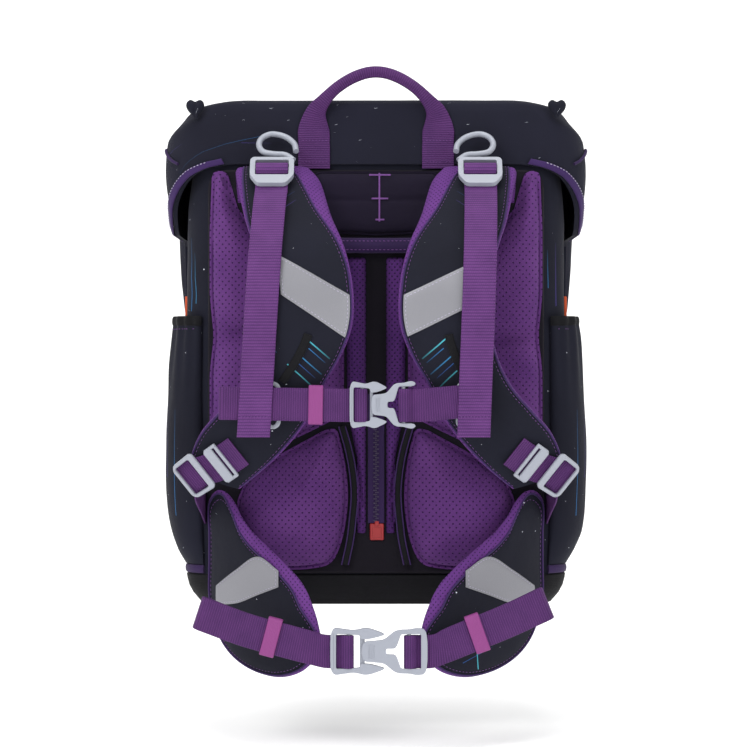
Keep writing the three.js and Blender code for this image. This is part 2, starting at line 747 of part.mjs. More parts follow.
function buildHandle() {
  const height = HANDLE_TOP - HANDLE_ROLL / 2 - HANDLE_FOOT;
  const halves = [
    ...HANDLE_ROWS.map((row) => ({ ...row, side: -1 })),
    { across: 0, up: 1, roll: 1, side: -1 },
    ...HANDLE_ROWS.map((row) => ({ ...row, side: 1 })).reverse(),
  ];
  const centres = halves.map((row) =>
    v3(
      row.side * row.across * HANDLE_SPREAD,
      mix(-HANDLE_DEPTH, HANDLE_CENTRE_Y, row.roll),
      HANDLE_FOOT + row.up * height,
    ),
  );
  const rings = halves.map((row, i) => {
    const ahead = centres[Math.min(i + 1, centres.length - 1)];
    const along = ahead.clone().sub(centres[Math.max(i - 1, 0)]).normalize();
    const across = v3(along.z, 0, -along.x).normalize();
    const wide = mix(WEBBING_WIDTH, HANDLE_ROLL, Math.sqrt(row.roll)) / 2;
    const thick = mix(HANDLE_FLAT, HANDLE_ROLL, row.roll) / 2;
    return Array.from({ length: 8 }, (_, k) => {
      const angle = ((k + 0.5) / 8) * 2 * Math.PI;
      const square = mix(1.35, 1.05, row.roll);
      const over = THREE.MathUtils.clamp(Math.cos(angle) * square, -1, 1) * wide;
      const out = THREE.MathUtils.clamp(Math.sin(angle) * square, -1, 1) * thick;
      return centres[i].clone().addScaledVector(across, over).add(v3(0, out, 0));
    });
  });
  add("carry_handle", loft(rings), "webbing");
}

// Shoulder strap: places of its outer and inner edge. out is a share of the board's half width,
// reach of the strap's reach from the board, up of the board's height, thick of the strap's thickness.
const STRAP_ROWS = [
  { outer: 0.82, inner: 0.425, outReach: 0.0, inReach: 0.0, outUp: 0.918, inUp: 0.918, thick: 0.42 },
  { outer: 0.828, inner: 0.41, outReach: 0.035, inReach: 0.035, outUp: 0.962, inUp: 0.962, thick: 0.62 },
  { outer: 0.83, inner: 0.386, outReach: 0.13, inReach: 0.125, outUp: 0.99, inUp: 0.99, thick: 0.85 },
  { outer: 0.815, inner: 0.333, outReach: 0.31, inReach: 0.27, outUp: 0.963, inUp: 0.967, thick: 1 },
  { outer: 0.758, inner: 0.262, outReach: 0.63, inReach: 0.57, outUp: 0.865, inUp: 0.878, thick: 1 },
  { outer: 0.694, inner: 0.178, outReach: 0.84, inReach: 0.8, outUp: 0.786, inUp: 0.792, thick: 1 },
  { outer: 0.652, inner: 0.132, outReach: 0.945, inReach: 0.9, outUp: 0.694, inUp: 0.7, thick: 1 },
  { outer: 0.652, inner: 0.132, outReach: 0.95, inReach: 0.91, outUp: 0.611, inUp: 0.618, thick: 1 },
  { outer: 0.699, inner: 0.189, outReach: 0.905, inReach: 0.875, outUp: 0.532, inUp: 0.547, thick: 1 },
  { outer: 0.781, inner: 0.287, outReach: 0.83, inReach: 0.82, outUp: 0.465, inUp: 0.475, thick: 1 },
  { outer: 0.9, inner: 0.403, outReach: 0.74, inReach: 0.75, outUp: 0.408, inUp: 0.379, thick: 1 },
  { outer: 1.02, inner: 0.544, outReach: 0.63, inReach: 0.67, outUp: 0.349, inUp: 0.306, thick: 0.95 },
  { outer: 1.075, inner: 0.685, outReach: 0.545, inReach: 0.585, outUp: 0.284, inUp: 0.252, thick: 0.85 },
  { outer: 1.035, inner: 0.79, outReach: 0.5, inReach: 0.53, outUp: 0.25, inUp: 0.217, thick: 0.6 },
];
const STRAP_STEPS = 22;

// Centre plane of the strap: its edges as smooth curves, and its thickness along them
function strapPlane(side) {
  const depth = (reach) => -(SEAT + (STRAP_THICK * STRAP_ROWS[0].thick) / 2 + reach * STRAP_REACH);
  const edge = (out, reach, up) =>
    new THREE.CatmullRomCurve3(
      STRAP_ROWS.map((row) => v3(boardX(row[out], side), depth(row[reach]), boardZ(row[up]))),
    );
  return {
    outer: edge("outer", "outReach", "outUp"),
    inner: edge("inner", "inReach", "inUp"),
    thick: new THREE.CatmullRomCurve3(STRAP_ROWS.map((row) => v3(row.thick * STRAP_THICK, 0, 0))),
  };
}
const strapPlanes = { left: strapPlane(-1), right: strapPlane(1) };

// A place on the strap's centre plane, with the direction its outside faces
function strapAt(name, along, across) {
  const { outer, inner, thick } = strapPlanes[name];
  const at = (t) => outer.getPoint(t).lerp(inner.getPoint(t), across);
  const step = 0.01;
  const forward = at(Math.min(along + step, 1)).sub(at(Math.max(along - step, 0))).normalize();
  const sideways = inner.getPoint(along).sub(outer.getPoint(along)).normalize();
  const facing = new THREE.Vector3().crossVectors(forward, sideways).normalize().multiplyScalar(-SIDES[name]);
  return { point: at(along), facing, half: thick.getPoint(along).x / 2 };
}

const strapFace = (name, along, across, lift) => {
  const { point, facing, half } = strapAt(name, along, across);
  return point.addScaledVector(facing, half + lift);
};

// The strap's section is thinner at its two edges
const STRAP_ACROSS = [
  { across: 0, full: 0.4 },
  { across: 0.1, full: 0.9 },
  { across: 0.5, full: 1 },
  { across: 0.9, full: 0.9 },
  { across: 1, full: 0.4 },
];

function buildStrap(name) {
  const rings = Array.from({ length: STRAP_STEPS + 1 }, (_, i) => {
    const face = (sign) =>
      STRAP_ACROSS.map(({ across, full }) => {
        const { point, facing, half } = strapAt(name, i / STRAP_STEPS, across);
        return point.addScaledVector(facing, sign * half * full);
      });
    return [...face(1), ...face(-1).reverse()];
  });
  add(`shoulder_strap_${name}`, loft(rings), "shell");
}

// Patch on a strap: where it starts and ends along the strap, at its outer and its inner edge
const PATCH_ROWS = {
  left: [
    { across: 0.2, from: 0.396, to: 0.475 },
    { across: 0.95, from: 0.479, to: 0.575 },
  ],
  right: [
    { across: 0.26, from: 0.417, to: 0.504 },
    { across: 0.94, from: 0.479, to: 0.572 },
  ],
};

function buildStrapReflector(name) {
  const [outer, inner] = PATCH_ROWS[name];
  const rings = [0, 0.3, 0.65, 1].map((share) => {
    const across = mix(outer.across, inner.across, share);
    const from = mix(outer.from, inner.from, share);
    const to = mix(outer.to, inner.to, share);
    const places = [0, 0.33, 0.66, 1].map((part) => mix(from, to, part));
    const low = places.map((along) => strapFace(name, along, across, REFLECTOR_STAND));
    const high = places.map((along) => strapFace(name, along, across, REFLECTOR_STAND + REFLECTOR_THICK));
    return [...low, ...high.reverse()];
  });
  add(`strap_reflector_${name}`, loft(rings), "reflector");
}

// How far the strap's outside stands from the board over a region, as the most negative Y
function strapFront(name, x, z, reachX, reachZ) {
  let front = 0;
  for (let i = 0; i <= 80; i++)
    for (let j = 0; j <= 12; j++) {
      const p = strapFace(name, i / 80, j / 12, 0);
      if (Math.abs(p.x - x) <= reachX && Math.abs(p.z - z) <= reachZ) front = Math.min(front, p.y);
    }
  return front;
}

// Webbing in a closed loop: centres round the loop, each with the tilt of its width
function webbingLoop(stations, width = WEBBING_WIDTH, thick = WEBBING_THICK) {
  const count = stations.length;
  const rings = stations.map((here, i) => {
    const before = stations[(i + count - 1) % count].at;
    const after = stations[(i + 1) % count].at;
    return webbingSection(here.at, after.clone().sub(before), here.wide, width, thick);
  });
  return loft(rings, true);
}

function webbingSection(centre, forward, wide, width, thick) {
  const across = wide.clone().normalize();
  const out = new THREE.Vector3().crossVectors(forward, across).normalize().multiplyScalar(thick / 2);
  const half = across.multiplyScalar(width / 2);
  const corner = (a, b) => centre.clone().addScaledVector(half, a).addScaledVector(out, b);
  return [corner(-1, -1), corner(1, -1), corner(1, 1), corner(-1, 1)];
}

function webbingRun(stations, width = WEBBING_WIDTH) {
  const rings = stations.map((here, i) => {
    const before = stations[Math.max(i - 1, 0)].at;
    const after = stations[Math.min(i + 1, stations.length - 1)].at;
    return webbingSection(here.at, after.clone().sub(before), here.wide, width, here.thick ?? WEBBING_THICK);
  });
  return loft(rings);
}

// Load adjuster: hook and slider moulded in one, leaning back from the strap against the lid.
// The slider's window is crossed by a bar that the webbing turns round.
const HOOK_ROWS = [
  { inward: 0.55, up: 0.3 },
  { inward: 0.5, up: 0.6 },
  { inward: 0.27, up: 0.9 },
  { inward: -0.05, up: 1.0 },
  { inward: -0.26, up: 0.84 },
  { inward: -0.33, up: 0.56 },
  { inward: -0.22, up: 0.28 },
  { inward: 0.03, up: 0.19 },
  { inward: 0.3, up: 0.15 },
  { inward: 0.5, up: -0.06 },
];

function sliderGeometry(side) {
  const half = SLIDER_WIDTH / 2;
  const outline = [
    [-half + 2, SLIDER_TOP],
    [half - 2, SLIDER_TOP],
    [half, SLIDER_TOP - 3],
    [half, -SLIDER_LIP],
    [half - 6, -SLIDER_BOTTOM],
    [-half + 6, -SLIDER_BOTTOM],
    [-half, -SLIDER_LIP],
    [-half, SLIDER_TOP - 3],
  ];
  const plate = slab(outline, -SLIDER_THICK / 2, SLIDER_THICK / 2);
  const high = SLIDER_TOP - SLIDER_RAIL;
  const opening = box(WEBBING_ROOM, SLIDER_THICK * 2, high + SLIDER_LIP, 0, 0, (high - SLIDER_LIP) / 2);
  const bar = new THREE.CylinderGeometry(BAR_RADIUS, BAR_RADIUS, SLIDER_WIDTH - 4, 8);
  bar.rotateZ(Math.PI / 2);
  bar.translate(0, 0, SLIDER_BAR);
  const curve = new THREE.CatmullRomCurve3(
    HOOK_ROWS.map((row) => v3(-side * row.inward * HOOK_WIDTH, 0, SLIDER_TOP + row.up * HOOK_HEIGHT)),
  );
  return join(cut(plate, opening), bar, uprightRod(curve, HOOK_WIRE / 2, 18));
}

// Where the slider stands: its middle, and its own sideways, up and out directions
const LEAN = THREE.MathUtils.degToRad(HOOK_LEAN);
const LEAN_UP = v3(0, Math.sin(LEAN), Math.cos(LEAN));
const LEAN_OUT = v3(0, -Math.cos(LEAN), Math.sin(LEAN));
const SLIDER_ALONG = 0.235;
const SLIDER_ACROSS = { left: 0.42, right: 0.42 };
const LEG_STEP = WEBBING_THICK + GAP * 1.5;
const SLIDER_STAND = GAP * 1.5 + WEBBING_THICK + GAP * 1.5 + WEBBING_THICK + GAP + SLIDER_THICK / 2;

function sliderPlace(name) {
  const seat = strapFace(name, SLIDER_ALONG, SLIDER_ACROSS[name], 0);
  return seat.addScaledVector(LEAN_OUT, SLIDER_STAND);
}

function buildSlider(name, side) {
  const slider = add(`lifter_hook_${name}`, sliderGeometry(side), "buckle");
  slider.position.copy(sliderPlace(name));
  slider.rotation.x = -LEAN;
}

// The webbing's way round the slider's bar: in is towards the bag, up is along the slider
const TURN_ROWS = [
  { in: 2, up: -2 },
  { in: 1.75, up: 2.2 },
  { in: 0.9, up: 4.5 },
  { in: -0.3, up: 4.9 },
  { in: -1.15, up: 3.2 },
  { in: -1.3, up: 0.6 },
  { in: -1.0, up: -1.9 },
  { in: 0.0, up: -4.0 },
  { in: 0.95, up: -5.2 },
  { in: 1, up: -8 },
  { in: 1, up: -17 },
];
const TAIL_DRIFT = { left: 12, right: -7 };
const TAIL_STEPS = 16;

function buildLifter(name) {
  const centre = sliderPlace(name);
  const wide = v3(1, 0, 0);
  const inner = SLIDER_THICK / 2 + GAP + WEBBING_THICK / 2;
  const reach = (share) => (share > 1 ? inner + (share - 1) * LEG_STEP : share * inner);
  const turn = TURN_ROWS.map((row) => ({
    at: centre
      .clone()
      .addScaledVector(LEAN_OUT, -reach(row.in))
      .addScaledVector(LEAN_UP, row.up),
    wide,
  }));
  // The short leg behind is sewn to the strap below the slider
  const legs = [-21, -11].map((up) => ({
    at: centre
      .clone()
      .addScaledVector(LEAN_OUT, -reach(2))
      .addScaledVector(LEAN_UP, up),
    wide,
  }));
  const start = turn[turn.length - 1].at;
  const tail = Array.from({ length: TAIL_STEPS }, (_, i) => {
    const share = (i + 1) / TAIL_STEPS;
    const z = mix(start.z, TAIL_END, share);
    const x = start.x + SIDES[name] * TAIL_DRIFT[name] * share;
    const strap = strapFront(name, x, z, WEBBING_WIDTH * 0.7, 7);
    const chest = z < CHEST_HEIGHT + WEBBING_WIDTH ? chestMiddle() - CHEST_LAYERS / 2 - WEBBING_THICK / 2 : 0;
    const y = Math.min(strap - REFLECTOR_STAND - REFLECTOR_THICK, chest) - GAP * 1.6 - WEBBING_THICK / 2;
    return { at: v3(x, Math.min(y, start.y), z), wide, thick: WEBBING_THICK };
  });
  add(`lifter_webbing_${name}`, webbingRun([...legs, ...turn, ...tail]), "webbing");
}

// Chest strap: a loop of webbing on each side, turned round the buckle's bar
const CHEST_SPAN = { left: 116, right: 72 };
const CHEST_TILT = { left: 1, right: 5 };
const CHEST_CENTRE = 5;
const CHEST_KEEPER = 45.5;
const CLIP_PLACE = { left: 78, right: 66 };

function clipFront(name) {
  const x = SIDES[name] * CLIP_PLACE[name];
  return strapFront(name, x, CHEST_HEIGHT, CLIP_WIDTH * 0.75, CLIP_HEIGHT / 2 + 3);
}

// Mid plane of the two layers of chest webbing, clear of the strap and of the clip on it
function chestPlane(name) {
  const x = (SIDES[name] * (CHEST_SPAN[name] + 30)) / 2;
  const straps = ["left", "right"].map((side) =>
    strapFront(side, SIDES[side] * Math.abs(x), CHEST_HEIGHT, CHEST_SPAN.left / 2, WEBBING_WIDTH / 2 + 3),
  );
  const clips = ["left", "right"].map((side) => clipFront(side) - GAP - CLIP_THICK);
  return Math.min(...straps, ...clips) - GAP - WEBBING_THICK / 2 - CHEST_LAYERS / 2;
}

function buildChestClip(name, side) {
  const radius = CLIP_WIDTH / 2;
  const half = CLIP_HEIGHT / 2 - radius;
  const shape = new THREE.Shape();
  shape.absarc(0, half, radius, 0, Math.PI);
  shape.absarc(0, -half, radius, Math.PI, 2 * Math.PI);
  const form = { depth: CLIP_THICK, bevelEnabled: false, curveSegments: 5 };
  const geometry = new THREE.ExtrudeGeometry(shape, form);
  geometry.rotateX(Math.PI / 2);
  const clip = add(`chest_clip_${name}`, geometry, "buckle");
  clip.position.set(side * CLIP_PLACE[name], clipFront(name) - GAP, CHEST_HEIGHT);
}

// The turn round a bar: along is towards the middle, out towards the wearer, both from the bar's axis
const BAR_TURN = [
  { along: -10, out: -1.2 },
  { along: -6.6, out: -1.15 },
  { along: -4.6, out: 0.9 },
  { along: -2.4, out: 2.7 },
  { along: 0, out: 3.1 },
  { along: 2.3, out: 2.1 },
  { along: 3.1, out: 0 },
  { along: 2.3, out: -2.4 },
  { along: 0, out: -3.7 },
  { along: -4, out: -4 },
];

// A loop of webbing from a bar out to a fold. The stations say where the loop's mid plane runs.
function barLoop({ bar, run, wide, layers, side, foldOpen }) {
  const stations = [];
  const facing = v3(0, -1, 0);
  const steps = 10;
  for (let i = steps; i >= 0; i--) {
    const share = i / steps;
    const open = layers / 2 + foldOpen * share ** 3;
    stations.push({ at: run(share).addScaledVector(facing, open), wide: wide(share) });
  }
  for (const row of BAR_TURN) {
    stations.push({
      at: bar.clone().add(v3(-side * row.along, 0, 0)).addScaledVector(facing, row.out),
      wide: wide(0),
    });
  }
  for (let i = 0; i <= steps; i++) {
    const share = i / steps;
    const open = layers / 2 + foldOpen * share ** 3;
    stations.push({ at: run(share).addScaledVector(facing, -open), wide: wide(share) });
  }
  const fold = run(1);
  const radius = layers / 2 + foldOpen;
  const away = run(1).sub(run(0.9)).normalize();
  for (const angle of [45, 90, 135]) {
    const turn = THREE.MathUtils.degToRad(angle);
    stations.push({
      at: fold
        .clone()
        .addScaledVector(away, radius * Math.sin(turn))
        .addScaledVector(facing, -radius * Math.cos(turn)),
      wide: wide(1),
    });
  }
  return webbingLoop(stations);
}

const BAR_OFFSET = 2.6;
const BAR_SHARE = 0.31;
const buckleBar = (length, side) => side * length * BAR_SHARE;

function chestMiddle() {
  return Math.min(chestPlane("left"), chestPlane("right"));
}

function buildChestWebbing(name, side) {
  const plane = chestMiddle();
  const bar = v3(CHEST_CENTRE + buckleBar(CHEST_BUCKLE_LENGTH, side), plane - BAR_OFFSET, CHEST_HEIGHT);
  const tilt = THREE.MathUtils.degToRad(CHEST_TILT[name]);
  const from = bar.x + side * 12;
  const fold = side * CHEST_SPAN[name];
  const run = (share) => {
    const x = mix(from, fold, share);
    return v3(x, plane, CHEST_HEIGHT + Math.tan(tilt) * share * Math.abs(fold - from));
  };
  const wide = (share) => v3(-side * Math.sin(tilt) * Math.min(share * 3, 1), 0, 1);
  const loop = barLoop({ bar, run, wide, layers: CHEST_LAYERS, side, foldOpen: 0.3 });
  add(`chest_webbing_${name}`, loop, "webbing");
}

// A flat ring round both layers of a strap
function keeperGeometry(layers) {
  const [depth, height] = [layers + WEBBING_THICK + 2 * GAP, WEBBING_ROOM + 2 * GAP];
  const outer = box(KEEPER_WIDTH, depth + 2 * KEEPER_THICK, height + 2 * KEEPER_THICK, 0, 0, 0);
  return cut(outer, box(KEEPER_WIDTH * 2, depth, height, 0, 0, 0));
}

function buildChestKeeper() {
  const keeper = add("chest_keeper", keeperGeometry(CHEST_LAYERS), "keeper");
  const tilt = THREE.MathUtils.degToRad(CHEST_TILT.left);
  const reach = CHEST_KEEPER + CHEST_CENTRE - CHEST_BUCKLE_LENGTH * BAR_SHARE - 12;
  keeper.position.set(-CHEST_KEEPER, chestMiddle(), CHEST_HEIGHT + Math.tan(tilt) * reach);
  keeper.rotation.y = tilt;
}

// Buckle halves: a framed window crossed by a bar, and a plate over a tongue in the middle.
// Places along are shares of the buckle's length, places across shares of the window's half height.
const FRAME_ROWS = [
  { along: -0.5, across: 1.06 },
  { along: -0.47, across: 1.2 },
  { along: -0.28, across: 1.16 },
  { along: -0.17, across: 1.29 },
];
const HORN_ROWS = [
  { along: -0.19, across: 0.72 },
  { along: -0.06, across: 0.8 },
  { along: 0.06, across: 0.98 },
  { along: -0.06, across: 1.26 },
  { along: -0.19, across: 1.28 },
];
const PLATE_ROWS = [
  { along: -0.19, across: 0.1 },
  { along: -0.17, across: 0.56 },
  { along: 0.02, across: 0.64 },
  { along: 0.11, across: 0.92 },
  { along: 0.2, across: 1.24 },
  { along: 0.38, across: 1.36 },
  { along: 0.5, across: 1.3 },
  { along: 0.47, across: 1.06 },
  { along: 0.225, across: 1.04 },
  { along: 0.165, across: 0.3 },
  { along: 0.07, across: 0.22 },
];

// Outline of rows above the middle line and mirrored below it
function mirroredOutline(rows, length) {
  const upper = rows.map((row) => [row.along * length, (row.across * WEBBING_ROOM) / 2]);
  return [...upper, ...upper.map(([x, z]) => [x, -z]).reverse()];
}

function buckleBarRod(along) {
  const bar = new THREE.CylinderGeometry(BAR_RADIUS, BAR_RADIUS, WEBBING_ROOM + 2, 8);
  return bar.rotateX(Math.PI / 2).translate(along, 0, 0);
}

// The left half: a frame round the webbing's bar, a tongue, and a horn above and below it
function buckleFrame(length) {
  const [front, back] = [-BUCKLE_THICK / 2, BUCKLE_THICK / 2];
  const at = (share) => share * length;
  const whole = slab(mirroredOutline(FRAME_ROWS, length), front, back);
  const opening = box(at(0.255), BUCKLE_THICK * 2, WEBBING_ROOM, at(-0.3225), 0, 0);
  // Behind the outer rail the webbing needs room, and in front of the inner rail the plate does
  const behind = box(at(0.24), BUCKLE_THICK, WEBBING_ROOM, at(-0.45), BUCKLE_THICK / 2, 0);
  const before = box(at(0.06), BUCKLE_THICK, WEBBING_ROOM, at(-0.18), GAP - BUCKLE_THICK / 2, 0);
  const tongue = box(at(0.25), back - GAP, WEBBING_ROOM / 2, at(-0.065), (back + GAP) / 2, 0);
  const horns = [1, -1].map((upper) =>
    slab(
      HORN_ROWS.map((row) => [at(row.along), (upper * row.across * WEBBING_ROOM) / 2]),
      front,
      back,
    ),
  );
  return join(cut(whole, opening, behind, before), buckleBarRod(at(-BAR_SHARE)), tongue, ...horns);
}

// The right half: a plate over the tongue that ends in two arms with the webbing's bar between them.
// The larger buckle also has a rail across the ends of the arms, in front of the webbing.
function bucklePlate(length, railed) {
  const outline = mirroredOutline(PLATE_ROWS, length);
  const plate = slab(outline, -BUCKLE_THICK / 2, -GAP);
  const overTongue = box(length, BUCKLE_THICK * 2, length * 2, length * (0.09 - 0.5), 0, 0);
  const arms = cut(slab(outline, -GAP * 2, BUCKLE_THICK / 2), overTongue);
  const bar = buckleBarRod(BAR_SHARE * length);
  if (!railed) return join(plate, arms, bar);
  const rail = box(0.05 * length, BUCKLE_THICK / 2, WEBBING_ROOM * 1.2, 0.475 * length, -BUCKLE_THICK / 4, 0);
  return join(plate, arms, bar, rail);
}

function buildBuckle(name, length, railed, x, y, z) {
  const frame = add(`${name}_buckle_frame`, buckleFrame(length), "buckle");
  const plate = add(`${name}_buckle_plate`, bucklePlate(length, railed), "buckle");
  frame.position.set(x, y, z);
  plate.position.set(x, y, z);
}

// Strap ends: a sewn tab of webbing under an adjuster and a frame, which runs back to the bag's side.
// Their places are given along the webbing, across it, and out from the face of the strap.
const ADJUSTER_ALONG = 0.9;
const ADJUSTER_ACROSS = 0.42;
const ADJUSTER_TURN = THREE.MathUtils.degToRad(52);
const ADJUSTER_LENGTH = 32;
const FRAME_LENGTH = 33;
const FRAME_PLACE = 23.4;
const FRAME_DROP = 4.2;
const LOWER_FOOT = 76;
const END_LAYER = GAP + WEBBING_THICK / 2;

function strapEnd(name) {
  const side = SIDES[name];
  const { point, facing, half } = strapAt(name, ADJUSTER_ALONG, ADJUSTER_ACROSS);
  const along = v3(side * Math.sin(ADJUSTER_TURN), 0, -Math.cos(ADJUSTER_TURN));
  along.addScaledVector(facing, -along.dot(facing)).normalize();
  const drop = new THREE.Vector3().crossVectors(facing, along).multiplyScalar(side);
  const origin = point.addScaledVector(facing, half + GAP);
  const at = (a, d, out) =>
    origin.clone().addScaledVector(along, a).addScaledVector(drop, d).addScaledVector(facing, out);
  const place = (mesh, a, d, out) => {
    mesh.matrix.makeBasis(along, facing.clone().negate(), new THREE.Vector3().crossVectors(facing, along));
    mesh.matrix.setPosition(at(a, d, out));
    mesh.matrix.decompose(mesh.position, mesh.quaternion, mesh.scale);
  };
  return { at, place, drop };
}

function buildAdjuster(name) {
  const lip = box(7.5, 3, ADJUSTER_LENGTH, 1.6, -1.5, 0);
  const tail = box(2.4, 2.4, ADJUSTER_LENGTH, -4.8, -1.2, 0);
  const rails = [-1, 1].map((end) => box(11, 3.6, 2.2, -0.5, -0.6, end * (WEBBING_ROOM / 2 + 1.1)));
  const adjuster = add(`strap_adjuster_${name}`, join(lip, tail, ...rails), "buckle");
  strapEnd(name).place(adjuster, 0, 0, END_LAYER + WEBBING_THICK / 2 + GAP);
}

function buildEndFrame(name) {
  const half = FRAME_LENGTH / 2;
  const outline = [
    [-8, half],
    [8, half - 1],
    [10, half - 5],
    [10, -half + 5],
    [8, -half + 1],
    [-8, -half],
    [-10, -half + 2],
    [-10, half - 2],
  ];
  const opening = box(12.9, 10, WEBBING_ROOM, 0.95, 0, 0);
  const frame = add(`strap_frame_${name}`, cut(slab(outline, -3.4, 0), opening), "buckle");
  strapEnd(name).place(frame, FRAME_PLACE, FRAME_DROP, END_LAYER + WEBBING_THICK / 2 + GAP);
}

function buildLowerWebbing(name, side) {
  const { at, drop } = strapEnd(name);
  const flat = [
    { along: -16, drop: -1 },
    { along: -8, drop: 0 },
    { along: 6, drop: 0 },
    { along: 12, drop: 1.5 },
    { along: FRAME_PLACE - 6, drop: FRAME_DROP - 0.7 },
    { along: FRAME_PLACE + 6, drop: FRAME_DROP },
  ].map((row) => ({ at: at(row.along, row.drop, END_LAYER), wide: drop }));
  // Round the frame's outer bar and straight back to the bag beside the board, with its width turned upright
  const upright = v3(0, 0, 1);
  const bend = [
    { along: FRAME_PLACE + 8.2, out: 0.5, turn: 0 },
    { along: FRAME_PLACE + 9.6, out: -1.6, turn: 0.05 },
    { along: FRAME_PLACE + 9.6, out: -4.6, turn: 0.15 },
    { along: FRAME_PLACE + 7.6, out: -9, turn: 0.35 },
  ].map((row) => ({ at: at(row.along, FRAME_DROP, row.out), wide: drop.clone().lerp(upright, row.turn) }));
  const back = [
    { x: BOARD_HALF_WIDTH + 9, y: -34, rise: 19, turn: 0.8 },
    { x: BOARD_HALF_WIDTH + 4, y: -18, rise: 8, turn: 1 },
    { x: BOARD_HALF_WIDTH + 2.5, y: 2.2, rise: 0, turn: 1 },
  ].map((row) => ({
    at: v3(side * row.x, row.y, LOWER_FOOT + row.rise),
    wide: drop.clone().lerp(upright, row.turn),
  }));
  add(`lower_webbing_${name}`, webbingRun([...flat, ...bend, ...back]), "webbing");
}

// Hip fin: outline as shares of its span inwards from the root, and heights in shares of the same span
const FIN_OUTLINE = [
  { in: 0.08, up: 1.02 },
  { in: 0.0, up: 0.93 },
  { in: 0.0, up: 0.66 },
  { in: 0.0, up: 0.4 },
  { in: 0.0, up: 0.085 },
  { in: 0.043, up: -0.115 },
  { in: 0.134, up: -0.312 },
  { in: 0.275, up: -0.454 },
  { in: 0.463, up: -0.54 },
  { in: 0.656, up: -0.557 },
  { in: 0.828, up: -0.498 },
  { in: 0.938, up: -0.392 },
  { in: 1.0, up: -0.25 },
  { in: 0.98, up: -0.09 },
  { in: 0.928, up: 0.075 },
  { in: 0.85, up: 0.242 },
  { in: 0.738, up: 0.371 },
  { in: 0.544, up: 0.547 },
  { in: 0.38, up: 0.691 },
  { in: 0.268, up: 0.838 },
  { in: 0.205, up: 0.955 },
  { in: 0.15, up: 1.01 },
];
const FIN_CROWN = [
  { size: 0.3, rise: -1 },
  { size: 0.62, rise: -1 },
  { size: 0.9, rise: -0.85 },
  { size: 1.0, rise: -0.3 },
  { size: 1.0, rise: 0.3 },
  { size: 0.9, rise: 0.85 },
  { size: 0.62, rise: 1 },
  { size: 0.3, rise: 1 },
];
const FIN_ROOT_STAND = SEAT + 0.6;
const finSpan = (name) => FIN_SPAN * (name === "right" ? RIGHT_FIN_STRETCH : 1);

// A place on the fin's mid plane: it swings towards the wearer as it runs inwards
function finAt(name, inward, up, lift) {
  const span = finSpan(name);
  const swing = (share) => FIN_SPAN * (share + 0.06 * Math.sin(Math.PI * Math.min(Math.max(share, 0), 1)));
  const depth = -(FIN_ROOT_STAND + swing(inward));
  const slope = (swing(inward + 0.01) - swing(inward - 0.01)) / 0.02 / span;
  const facing = v3(SIDES[name] * slope, -1, 0).normalize();
  return v3(SIDES[name] * (FIN_ROOT - inward * span), depth, up * FIN_SPAN).addScaledVector(facing, lift);
}

function finRings(name) {
  const middle = { in: 0.5, up: 0.0 };
  return FIN_CROWN.map(({ size, rise }) =>
    FIN_OUTLINE.map((row) => {
      const inward = mix(middle.in, row.in, size);
      const rootThin = THREE.MathUtils.smoothstep(inward, -0.1, 0.25) * 0.55 + 0.45;
      return finAt(name, inward, mix(middle.up, row.up, size), (rise * FIN_THICK * rootThin) / 2);
    }),
  );
}

function buildFin(name) {
  add(`hip_fin_${name}`, loft(finRings(name)), "shell");
}

function buildHipReflector(name) {
  const rows = [
    { in: 0.12, from: 0.19, to: 0.02 },
    { in: 0.3, from: 0.34, to: 0.05 },
    { in: 0.5, from: 0.47, to: 0.14 },
    { in: 0.68, from: 0.36, to: 0.22 },
  ];
  const rings = rows.map((row) => {
    const places = [0, 0.5, 1].map((share) => mix(row.from, row.to, share));
    const face = (lift) => places.map((up) => finAt(name, row.in, up, FIN_THICK / 2 + lift));
    return [...face(REFLECTOR_STAND), ...face(REFLECTOR_STAND + REFLECTOR_THICK).reverse()];
  });
  add(`hip_reflector_${name}`, loft(rings), "reflector");
}

// Hip belt: where its middle line runs, outwards from the buckle, and its tilt there
const BELT_CENTRE = 2;
const BELT_HEIGHT = -27;
const BELT_ROWS = {
  left: [
    { share: 0, x: 39, rise: 0.3, tilt: 1 },
    { share: 0.25, x: 61, rise: 6, tilt: 13 },
    { share: 0.6, x: 98, rise: 16, tilt: 16 },
    { share: 1, x: 130, rise: 27.5, tilt: 18 },
  ],
  right: [
    { share: 0, x: 43, rise: 0.3, tilt: 1 },
    { share: 0.25, x: 63, rise: 8.5, tilt: 18 },
    { share: 0.6, x: 98, rise: 22.5, tilt: 21 },
    { share: 1, x: 125, rise: 34.5, tilt: 22 },
  ],
};
const KEEPER_SHARE = { left: 0.42, right: 0.38 };

const finFront = (name) => Math.min(...finRings(name).flat().map((point) => point.y));

function beltPlane() {
  const fins = Math.min(finFront("left"), finFront("right"));
  return fins - GAP - WEBBING_THICK / 2 - BELT_LAYERS / 2;
}

function beltLine(name) {
  const rows = BELT_ROWS[name];
  const side = SIDES[name];
  const read = (share, column) => readTable(rows, "share", share, column);
  const plane = beltPlane();
  const run = (share) =>
    v3(side * read(share, "x"), plane + 6 * share ** 2, BELT_HEIGHT + read(share, "rise"));
  const wide = (share) => {
    const tilt = THREE.MathUtils.degToRad(read(share, "tilt"));
    return v3(-side * Math.sin(tilt), 0, Math.cos(tilt));
  };
  return { run, wide };
}

function buildBelt(name, side) {
  const { run, wide } = beltLine(name);
  const bar = v3(BELT_CENTRE + buckleBar(HIP_BUCKLE_LENGTH, side), beltPlane() - BAR_OFFSET, BELT_HEIGHT);
  const flat = (share) => (share === 0 ? v3(0, 0, 1) : wide(share));
  const loop = barLoop({ bar, run, wide: flat, layers: BELT_LAYERS, side, foldOpen: 3 });
  add(`hip_belt_${name}`, loop, "webbing");
}

